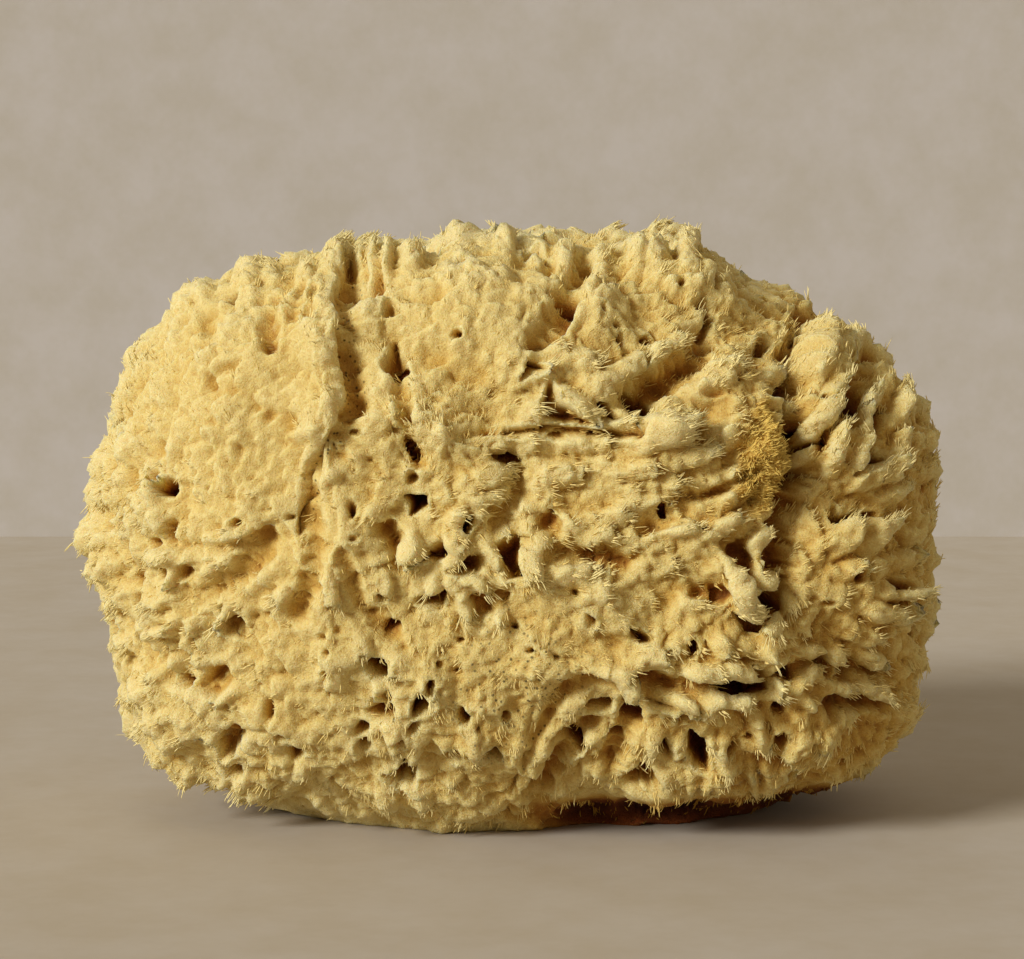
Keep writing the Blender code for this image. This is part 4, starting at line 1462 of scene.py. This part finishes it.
@dataclass
class Fibres:
    """The fringes, the combed strands and the gold curls that grow out of the skin."""

    skin: Skin
    draw: np.random.Generator
    strands_in_a_tassel: int = 6
    width: float = 0.08
    more_width: float = 0.04

    def roots(self, weight: np.ndarray, count: int) -> dict[str, np.ndarray]:
        """Picks places on the skin at random, more where the weight is larger.

        Args:
            weight: one value for each point of the skin.
            count: how many places.

        Returns:
            The places, the way out, the way the fibres lie and values there, each
            blended from the corners of the triangle that was picked.
        """
        faces = self.skin.surface.faces
        area = 0.5 * np.linalg.norm(self.skin.surface.crosses(), axis=1)
        area = np.minimum(area, 0.7)
        share = area * weight[faces].mean(axis=1)
        picked = np.searchsorted(np.cumsum(share) / share.sum(), self.draw.random(count))
        picked = np.minimum(picked, len(faces) - 1)
        s, t = self.draw.random((2, count))
        over = s + t > 1
        s, t = np.where(over, 1 - s, s), np.where(over, 1 - t, t)
        blend = np.stack([1 - s - t, s, t], axis=1)
        corners = faces[picked]

        def mixed(values: np.ndarray) -> np.ndarray:
            """The corners' values blended at each place."""
            rows = values.reshape(len(values), -1)[corners]
            return (rows * blend[:, :, None]).sum(axis=1).reshape((count,) + values.shape[1:])

        return {
            "at": mixed(self.skin.surface.points),
            "out": unit(mixed(self.skin.facing)),
            "smooth_out": unit(mixed(self.skin.normal)),
            "comb": unit(mixed(self.skin.comb)),
            "tip": mixed(self.skin.tip),
            "hollow": mixed(self.skin.hollow),
            "gold": mixed(self.skin.gold()),
        }

    def starts(self, growth: Growth, count: int) -> Starts:
        """Where the strands of one kind of growth start."""
        makers = {
            Growth.FRINGE: self.tassel_starts,
            Growth.COMBED: self.combed_starts,
            Growth.GOLD: self.gold_starts,
        }
        return makers[growth](count)

    def strands(self, starts: Starts, kind: StrandKind) -> FibreMesh:
        """Curled three-sided strands.

        Args:
            starts: where the strands start, which way they go, and how they bend.
            kind: how long they are, and how strongly they bend.

        Returns:
            The strands. A strand's three rings of three points narrow to one at its end.
        """
        count = len(starts.foot)
        longer = (kind.longest - kind.shortest) * self.draw.random(count) ** 1.7
        length = (kind.shortest + longer)[:, None]
        width = self.width + self.more_width * self.draw.random(count)
        bend = kind.curl * (starts.bend + 0.15 * self.draw.normal(size=(count, 3)))

        def along(share: float) -> np.ndarray:
            """The point a share of the way along each: straight on, plus bend by its square."""
            return starts.foot + length * (starts.lean * share + bend * share**2)

        rings = []
        for share, narrow in ((0.0, 1.0), (0.45, 1.0), (0.85, 0.75)):
            reach = (width * narrow)[:, None]
            for turn in (0, 2 * math.pi / 3, 4 * math.pi / 3):
                off = starts.side * math.cos(turn) + starts.up * math.sin(turn)
                rings.append(along(share) + reach * off)
        rings.append(along(1.0))
        # Each strand is paler from its foot to its end: painted shade near the skin.
        lift = np.repeat([0.05, 0.1, 0.16, 0.2], [3, 3, 3, 1])
        return self.mesh(np.stack(rings, axis=1), self.tube(3, 3), starts.root, lift)

    def tassel_starts(self, tassels: int) -> Starts:
        """Starts for the fringes: tassels of strands at the tips of the tufts and fingers.

        Args:
            tassels: how many tassels.

        Returns:
            The starts. A tassel's strands start side by side and splay a little.
        """
        skin = self.skin
        shown = 0.3 + 1.1 * skin.front + 0.25 * np.clip(skin.normal[:, 2], 0, 1)
        weight = shown * (skin.tip**2 + 0.3 * skin.lock**2) * (1 - 0.8 * skin.calm())
        root = self.roots(weight * skin.off_base + 1e-6, tassels)
        each = self.strands_in_a_tassel
        root = {name: np.repeat(values, each, axis=0) for name, values in root.items()}
        count = tassels * each
        lock = swirl(root["at"], 2.6, 223)
        onward = unit(root["comb"] + 0.3 * root["smooth_out"] + 0.5 * lock)
        side = unit(np.cross(onward, root["smooth_out"]))
        up = np.cross(side, onward)
        spread = self.draw.normal(size=(count, 3)).clip(-1.8, 1.8)
        foot = root["at"] + 0.32 * side * spread[:, :1] + 0.2 * onward * spread[:, 2:]
        foot -= 0.15 * root["smooth_out"]
        lean = unit(onward + 0.14 * side * spread[:, :1] + 0.1 * up * spread[:, 1:2])
        bend = 0.6 * lock[:, [1, 2, 0]] + 0.3 * swirl(root["at"], 5.0, 229)
        return Starts(root, foot, lean, side, up, bend)

    def combed_starts(self, count: int) -> Starts:
        """Starts for the strands that lie on the felt, all along the comb.

        Args:
            count: how many strands.

        Returns:
            The starts. Few stand on the smooth plates, the grainy part and in the openings.
        """
        skin = self.skin
        shown = 0.35 + skin.front + 0.25 * np.clip(skin.normal[:, 2], 0, 1)
        open_skin = 1 - smoothstep(1.5, 4.0, skin.deep_by)
        loose = (1 - 0.8 * skin.calm()) * (1 - 0.8 * skin.grainy())
        weight = shown * (0.1 + open_skin) * (0.3 + skin.tip + 0.6 * skin.lock) * loose
        root = self.roots(weight * skin.off_base, count)
        noise = swirl(root["at"], 2.4, 241)
        flat = root["comb"] - root["out"] * (root["comb"] * root["out"]).sum(axis=1)[:, None]
        random = self.draw.normal(size=(count, 3))
        lean = unit(flat + 0.2 * root["out"] + 0.35 * noise + 0.1 * random)
        side = unit(np.cross(lean, root["out"] + 0.1 * random))
        bend = 0.4 * noise[:, [2, 0, 1]] - 0.1 * root["out"]
        foot = root["at"] - 0.05 * root["out"]
        return Starts(root, foot, lean, side, np.cross(side, lean), bend)

    def gold_starts(self, count: int) -> Starts:
        """Starts for the dense curls of the gold patch, straight on the skin.

        Args:
            count: how many curls.

        Returns:
            The starts. The curls lean with a noise that turns within a millimetre or so.
        """
        root = self.roots(self.skin.gold() ** 2 + 1e-6, count)
        lock = swirl(root["at"], 1.3, 223)
        lean = unit(0.8 * root["comb"] + 0.7 * root["smooth_out"] + 0.9 * lock)
        shaken = root["smooth_out"] + 0.2 * self.draw.normal(size=(count, 3))
        side = unit(np.cross(lean, shaken))
        return Starts(root, root["at"], lean, side, np.cross(side, lean), lock[:, [1, 2, 0]])

    def tube(self, sides: int, rings: int) -> np.ndarray:
        """The triangles of a closed tube: a capped foot, walls between rings, and a tip.

        Args:
            sides: how many points a ring has.
            rings: how many rings there are.

        Returns:
            Three point numbers a triangle, the tip's point being the last.
        """
        pattern = [[0, k + 1, k] for k in range(1, sides - 1)]
        for ring in range(rings - 1):
            for k in range(sides):
                here, beside = ring * sides + k, ring * sides + (k + 1) % sides
                pattern += [[here, beside, beside + sides], [here, beside + sides, here + sides]]
        last, tip = (rings - 1) * sides, rings * sides
        pattern += [[last + k, last + (k + 1) % sides, tip] for k in range(sides)]
        return np.array(pattern)

    def mesh(
        self, points: np.ndarray, pattern: np.ndarray, root: dict[str, np.ndarray], lift: np.ndarray
    ) -> FibreMesh:
        """Joins the fibres' points and their repeated faces into one mesh.

        Args:
            points: each fibre's points, as fibre, point, axis.
            pattern: one fibre's faces.
            root: the values at the fibres' roots.
            lift: how much paler each point of a fibre is than its root: painted shade at the root.

        Returns:
            The mesh, with a painted shade that is paler on tips and darker in hollows.
        """
        count, each = points.shape[:2]
        first = np.arange(count)[:, None, None] * each
        # Painted light and shade: paler on the tips of tufts, darker where the skin sinks or
        # carries painted shade.
        shade = np.clip(0.5 + 0.3 * root["tip"] - 0.16 * root["hollow"], 0, 1)
        return FibreMesh(
            points.reshape(-1, 3),
            (first + pattern).reshape(-1, 3),
            (shade[:, None] + lift).reshape(-1),
            np.repeat(root["gold"], each),
        )


def linear(colour: str) -> tuple[float, float, float, float]:
    """An sRGB hex colour as the linear values that shaders take.

    Args:
        colour: six hex digits.

    Returns:
        Red, green, blue and a full alpha. A value up to 0.04045 is divided by
        12.92, and a larger one is raised to the power of 2.4 after an offset.
    """
    parts = [int(colour[k:k + 2], 16) / 255 for k in (0, 2, 4)]
    plain = [c / 12.92 if c <= 0.04045 else ((c + 0.055) / 1.055) ** 2.4 for c in parts]
    return (*plain, 1.0)


def node(
    tree: bpy.types.NodeTree, kind: str, links: dict | None = None, stops: tuple = (), **settings
) -> bpy.types.Node:
    """Adds a node with its settings and links.

    Args:
        tree: the material's node tree.
        kind: the node's type.
        links: input name or number to an output socket or to a plain value.
        stops: the (place, sRGB hex) stops of a colour ramp.
        settings: the node's own properties.

    Returns:
        The new node.
    """
    made = tree.nodes.new(kind)
    for name, value in settings.items():
        setattr(made, name, value)
    for name, value in (links or {}).items():
        if isinstance(value, bpy.types.NodeSocket):
            tree.links.new(value, made.inputs[name])
        else:
            made.inputs[name].default_value = value
    for place, (position, colour) in enumerate(stops):
        elements = made.color_ramp.elements
        element = elements[place] if place < len(elements) else elements.new(position)
        element.position = position
        element.color = linear(colour)
    return made


def blank_material(name: str) -> tuple[bpy.types.Material, bpy.types.NodeTree, bpy.types.Node]:
    """A new material, with its node tree and its Principled BSDF.

    Args:
        name: the material's name.

    Returns:
        The material, its node tree and its shader.
    """
    material = bpy.data.materials.new(name)
    material.use_nodes = True
    return material, material.node_tree, material.node_tree.nodes["Principled BSDF"]


@dataclass(frozen=True)
class FeltedSpongin:
    """Spongin felt: a dull butter-yellow mat, ochre where it sinks.

    The tips are cream, which is painted light, and the hollows ochre to brown, which is painted
    shade. The felt has pores about 1 mm apart and a fibre grain of 0.35 mm.
    """

    name: str = "felted_spongin"
    pore_spacing: float = 1.15 * MM
    grain: float = 0.35 * MM
    grain_depth: float = 0.45 * MM
    mottle: float = 9.0 * MM
    mottle_share: float = 0.22
    glow: float = 2.2 * MM
    glow_share: float = 0.55
    glow_by_channel: tuple[float, float, float] = (1.0, 0.85, 0.55)
    roughness: float = 0.92
    gloss: float = 0.25
    ior: float = 1.54
    gold: str = "DCB254"
    flecks: tuple = ((0.34, "F1E8D6"), (0.6, "FFFFFF"))
    # From cream for the ridges to dark brown for the deepest hollows: painted light and painted
    # shade.
    stops: tuple = (
        (0.0, "EEDD9E"),
        (0.17, "E6CE83"),
        (0.30, "D6B05A"),
        (0.45, "B47C2E"),
        (0.68, "7E4014"),
        (1.0, "40180A"),
    )

    def build(self) -> bpy.types.Material:
        """Makes the material.

        Returns:
            The material, ready to be put on a mesh.
        """
        material, tree, shader = blank_material(self.name)
        place = node(tree, "ShaderNodeTexCoord").outputs["Object"]
        hollow, gold, porous = (
            node(tree, "ShaderNodeAttribute", attribute_name=label).outputs["Fac"]
            for label in ("hollow", "gold", "porous")
        )
        mottle = node(
            tree, "ShaderNodeTexNoise",
            {"Vector": place, "Scale": 1 / self.mottle, "Detail": 3.0, "Roughness": 0.6},
        ).outputs["Fac"]
        pores = node(
            tree, "ShaderNodeTexVoronoi", {"Vector": place, "Scale": 1 / self.pore_spacing}
        ).outputs["Distance"]
        grain = node(
            tree, "ShaderNodeTexNoise",
            {"Vector": place, "Scale": 1 / self.grain, "Detail": 2.0, "Roughness": 0.7},
        ).outputs["Fac"]
        # The hollow value picks the ramp's colour: the felt is darker where it sinks, painted
        # shade, and paler where it stands out, painted light.
        shifted = node(
            tree, "ShaderNodeMath", {0: mottle, 1: self.mottle_share, 2: hollow},
            operation="MULTIPLY_ADD",
        ).outputs[0]
        level = node(
            tree, "ShaderNodeMath", {0: shifted, 1: self.mottle_share / 2}, operation="SUBTRACT"
        ).outputs[0]
        colour = node(
            tree, "ShaderNodeValToRGB", {"Fac": level}, self.stops
        ).outputs["Color"]
        # Dark dots at the pores: painted shade.
        dots = node(
            tree, "ShaderNodeMapRange",
            {"Value": pores, "From Min": 0.13, "From Max": 0.27, "To Min": 0.25, "To Max": 1.0},
        ).outputs["Result"]
        dotted = node(
            tree, "ShaderNodeMix", {"Factor": porous, MIX_FIRST: colour, MIX_SECOND: dots},
            data_type="RGBA", blend_type="MULTIPLY",
        ).outputs[MIX_RESULT]
        golden = node(
            tree, "ShaderNodeMix",
            {"Factor": gold, MIX_FIRST: dotted, MIX_SECOND: linear(self.gold)},
            data_type="RGBA",
        ).outputs[MIX_RESULT]
        fleck = node(
            tree, "ShaderNodeValToRGB", {"Fac": grain}, self.flecks
        ).outputs["Color"]
        flecked = node(
            tree, "ShaderNodeMix", {"Factor": 1.0, MIX_FIRST: golden, MIX_SECOND: fleck},
            data_type="RGBA", blend_type="MULTIPLY",
        ).outputs[MIX_RESULT]
        tree.links.new(flecked, shader.inputs["Base Color"])
        bump = node(
            tree, "ShaderNodeBump",
            {"Height": grain, "Strength": 1.0, "Distance": self.grain_depth},
        ).outputs["Normal"]
        tree.links.new(bump, shader.inputs["Normal"])
        shader.inputs["Subsurface Weight"].default_value = self.glow_share
        shader.inputs["Subsurface Radius"].default_value = self.glow_by_channel
        shader.inputs["Subsurface Scale"].default_value = self.glow
        shader.inputs["Roughness"].default_value = self.roughness
        shader.inputs["Specular IOR Level"].default_value = self.gloss
        shader.inputs["IOR"].default_value = self.ior
        return material


@dataclass(frozen=True)
class LooseSpongin:
    """Single spongin fibres: dull butter yellow, ochre at the root from painted shade."""

    name: str = "loose_spongin"
    gold: str = "E4C468"
    roughness: float = 0.95
    gloss: float = 0.0
    # From ochre for shaded roots and hollows to cream for lit tips: painted shade and painted
    # light.
    stops: tuple = (
        (0.0, "A87226"),
        (0.3, "D8AE54"),
        (0.6, "EACF7E"),
        (1.0, "F3E2A0"),
    )

    def build(self) -> bpy.types.Material:
        """Makes the material.

        Returns:
            The material, ready to be put on a mesh.
        """
        material, tree, shader = blank_material(self.name)
        shade, gold = (
            node(tree, "ShaderNodeAttribute", attribute_name=label).outputs["Fac"]
            for label in ("shade", "gold")
        )
        colour = node(tree, "ShaderNodeValToRGB", {"Fac": shade}, self.stops).outputs["Color"]
        golden = node(
            tree, "ShaderNodeMix",
            {"Factor": gold, MIX_FIRST: colour, MIX_SECOND: linear(self.gold)},
            data_type="RGBA",
        ).outputs[MIX_RESULT]
        tree.links.new(golden, shader.inputs["Base Color"])
        shader.inputs["Roughness"].default_value = self.roughness
        shader.inputs["Specular IOR Level"].default_value = self.gloss
        return material


@dataclass
class Sponge:
    """The whole sponge: its skin and its fibres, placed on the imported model."""

    hollow_low: float = -1.2
    hollow_span: float = 7.4

    def __post_init__(self) -> None:
        """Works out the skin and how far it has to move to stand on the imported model."""
        self.skin = Skin(SpongeForm())
        low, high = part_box(NODE)
        points = self.skin.surface.points
        middle = (points.min(axis=0) + points.max(axis=0)) / 2
        centre = (np.array(low) + np.array(high)) / 2 / MM
        self.shift = centre - middle
        self.shift[2] = low[2] / MM

    def add(
        self, name: str, points: np.ndarray, faces: np.ndarray, values: dict[str, np.ndarray]
    ) -> bpy.types.Object:
        """Puts points and faces into a new object, smooth, with values as attributes.

        Args:
            name: the object's name.
            points: in mm, in the form's own frame.
            faces: corners of each face, in one array.
            values: attribute name to one value a point.

        Returns:
            The object, linked to the scene.
        """
        mesh = bpy.data.meshes.new(name)
        sides = faces.shape[1]
        mesh.vertices.add(len(points))
        mesh.vertices.foreach_set("co", ((points + self.shift) * MM).astype(np.float32).ravel())
        mesh.loops.add(faces.size)
        mesh.loops.foreach_set("vertex_index", faces.astype(np.int32).ravel())
        mesh.polygons.add(len(faces))
        mesh.polygons.foreach_set("loop_start", np.arange(0, faces.size, sides, dtype=np.int32))
        mesh.update(calc_edges=True)
        for label, value in values.items():
            mesh.attributes.new(label, "FLOAT", "POINT").data.foreach_set(
                "value", value.astype(np.float32)
            )
        mesh.shade_smooth()
        made = bpy.data.objects.new(name, mesh)
        bpy.context.scene.collection.objects.link(made)
        return made

    def add_skin(self, finish: bpy.types.Material) -> bpy.types.Object:
        """The felted skin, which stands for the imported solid.

        Args:
            finish: the material of the felt.

        Returns:
            The skin.
        """
        skin = self.skin
        # The hollow value carries the felt's painted shade and painted light into its colour.
        hollow = np.clip((skin.hollow - self.hollow_low) / self.hollow_span, 0, 1)
        made = self.add(
            "sponge_skin", skin.surface.points, skin.surface.faces,
            {"hollow": hollow, "gold": skin.gold(), "porous": skin.porous()},
        )
        made.data.materials.append(finish)
        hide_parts(NODE)
        return made

    def add_growth(
        self, growth: Growth, number: int, mesh: FibreMesh, finish: bpy.types.Material
    ) -> bpy.types.Object:
        """Adds one piece of fibres, with nothing below the base.

        Args:
            growth: the kind of fibre, which the piece is named for.
            number: which piece of that kind it is.
            mesh: the fibres.
            finish: the material of all of them.

        Returns:
            The piece.
        """
        mesh.points[:, 2] = np.maximum(mesh.points[:, 2], 0.0)
        made = self.add(
            f"sponge_{growth.value}_{number}", mesh.points, mesh.faces,
            {"shade": mesh.shade, "gold": mesh.gold},
        )
        made.data.materials.append(finish)
        return made

    def add_fibres(self, finish: bpy.types.Material) -> list[bpy.types.Object]:
        """The fringes, the combed strands and the gold curls, each piece from its own seed.

        Args:
            finish: the material of all the fibres.

        Returns:
            The pieces.
        """
        pieces = []
        for growth, kind in STRAND_KINDS.items():
            for k in range(kind.pieces):
                fibres = Fibres(self.skin, np.random.default_rng(kind.seed + k))
                mesh = fibres.strands(fibres.starts(growth, kind.count), kind)
                pieces.append(self.add_growth(growth, k + 1, mesh, finish))
        return pieces

    def build(self) -> None:
        """Makes every piece and lets it ride on the sponge's one body."""
        pieces = [self.add_skin(FeltedSpongin().build())]
        pieces += self.add_fibres(LooseSpongin().build())
        for piece in pieces:
            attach(piece, BODY)
            LOG.info("%s: %d faces", piece.name, len(piece.data.polygons))


@dataclass
class Studio:
    """The floor, the wall, the lights and the camera."""

    shift: np.ndarray
    lens: float = 90.0
    sensor: float = 36.0
    pitch: float = 5.5
    wall_distance: float = 0.396
    wall_height: float = 2.0
    half_width: float = 2.5
    cloud: float = 25.0 * MM
    sun_energy: float = 3.1
    sun_spread: float = 18.0
    sun_side: tuple[float, float, float] = (-0.70, -0.56, 0.44)
    sky: str = "FFEFD4"
    sky_strength: float = 0.33

    def plaster(self, name: str, colour: str, mottle: str) -> bpy.types.Material:
        """Painted plaster or paper: matt, faintly clouded, with clouds about 25 mm across.

        Args:
            name: the material's name.
            colour: the paint, as sRGB hex.
            mottle: the paint in the clouds, as sRGB hex.

        Returns:
            The material.
        """
        material, tree, shader = blank_material(name)
        place = node(tree, "ShaderNodeTexCoord").outputs["Object"]
        cloud = node(
            tree, "ShaderNodeTexNoise",
            {"Vector": place, "Scale": 1 / self.cloud, "Detail": 4.0, "Roughness": 0.74},
        ).outputs["Fac"]
        share = node(
            tree, "ShaderNodeMapRange", {"Value": cloud, "From Min": 0.35, "From Max": 0.65}
        ).outputs["Result"]
        mixed = node(
            tree, "ShaderNodeMix",
            {"Factor": share, MIX_FIRST: linear(colour), MIX_SECOND: linear(mottle)},
            data_type="RGBA",
        ).outputs[MIX_RESULT]
        tree.links.new(mixed, shader.inputs["Base Color"])
        shader.inputs["Roughness"].default_value = 0.85
        return material

    def sheet(self, name: str, corners: list, finish: bpy.types.Material) -> None:
        """A flat sheet of the studio, which isn't part of the sponge.

        Args:
            name: the object's name.
            corners: its four corners in metres, in order.
            finish: its material.
        """
        mesh = bpy.data.meshes.new(name)
        mesh.from_pydata(corners, [], [(0, 1, 2, 3)])
        made = bpy.data.objects.new(name, mesh)
        made.data.materials.append(finish)
        bpy.context.scene.collection.objects.link(made)

    def key_light(self) -> None:
        """The one large soft window light, from the upper left and a little in front."""
        data = bpy.data.lights.new("key", "SUN")
        data.energy = self.sun_energy
        data.angle = math.radians(self.sun_spread)
        made = bpy.data.objects.new("key", data)
        made.rotation_euler = Vector(self.sun_side).to_track_quat("Z", "Y").to_euler()
        bpy.context.scene.collection.objects.link(made)

    def camera(self) -> None:
        """The camera, where the table of features is seen from."""
        data = bpy.data.cameras.new("camera")
        data.lens = self.lens
        data.sensor_width = self.sensor
        made = bpy.data.objects.new("camera", data)
        place = np.array([EYE_ACROSS, -EYE_DISTANCE, EYE_HEIGHT]) + self.shift
        made.location = Vector(place * MM)
        made.rotation_euler = (math.radians(90 - self.pitch), 0, 0)
        bpy.context.scene.collection.objects.link(made)
        bpy.context.scene.camera = made

    def build(self) -> None:
        """Makes the studio."""
        wall = self.plaster("wall_plaster", "BAB3AB", "B3AB9E")
        floor = self.plaster("floor_plaster", "B9AF9F", "B3A793")
        far, half, tall = self.wall_distance, self.half_width, self.wall_height
        self.sheet(
            "floor", [(-half, -half, 0), (half, -half, 0), (half, far, 0), (-half, far, 0)], floor
        )
        self.sheet(
            "wall", [(-half, far, 0), (half, far, 0), (half, far, tall), (-half, far, tall)], wall
        )
        self.key_light()
        world = bpy.data.worlds.new("studio")
        world.use_nodes = True
        background = world.node_tree.nodes["Background"]
        background.inputs["Color"].default_value = linear(self.sky)
        background.inputs["Strength"].default_value = self.sky_strength
        bpy.context.scene.world = world
        bpy.context.scene.view_settings.view_transform = "Standard"
        self.camera()


def main() -> None:
    """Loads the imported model, builds the sponge on it, and sets up the studio."""
    logging.basicConfig(level=logging.INFO, format="%(message)s")
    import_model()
    sponge = Sponge()
    sponge.build()
    Studio(sponge.shift).build()


if __name__ == "__main__":
    main()
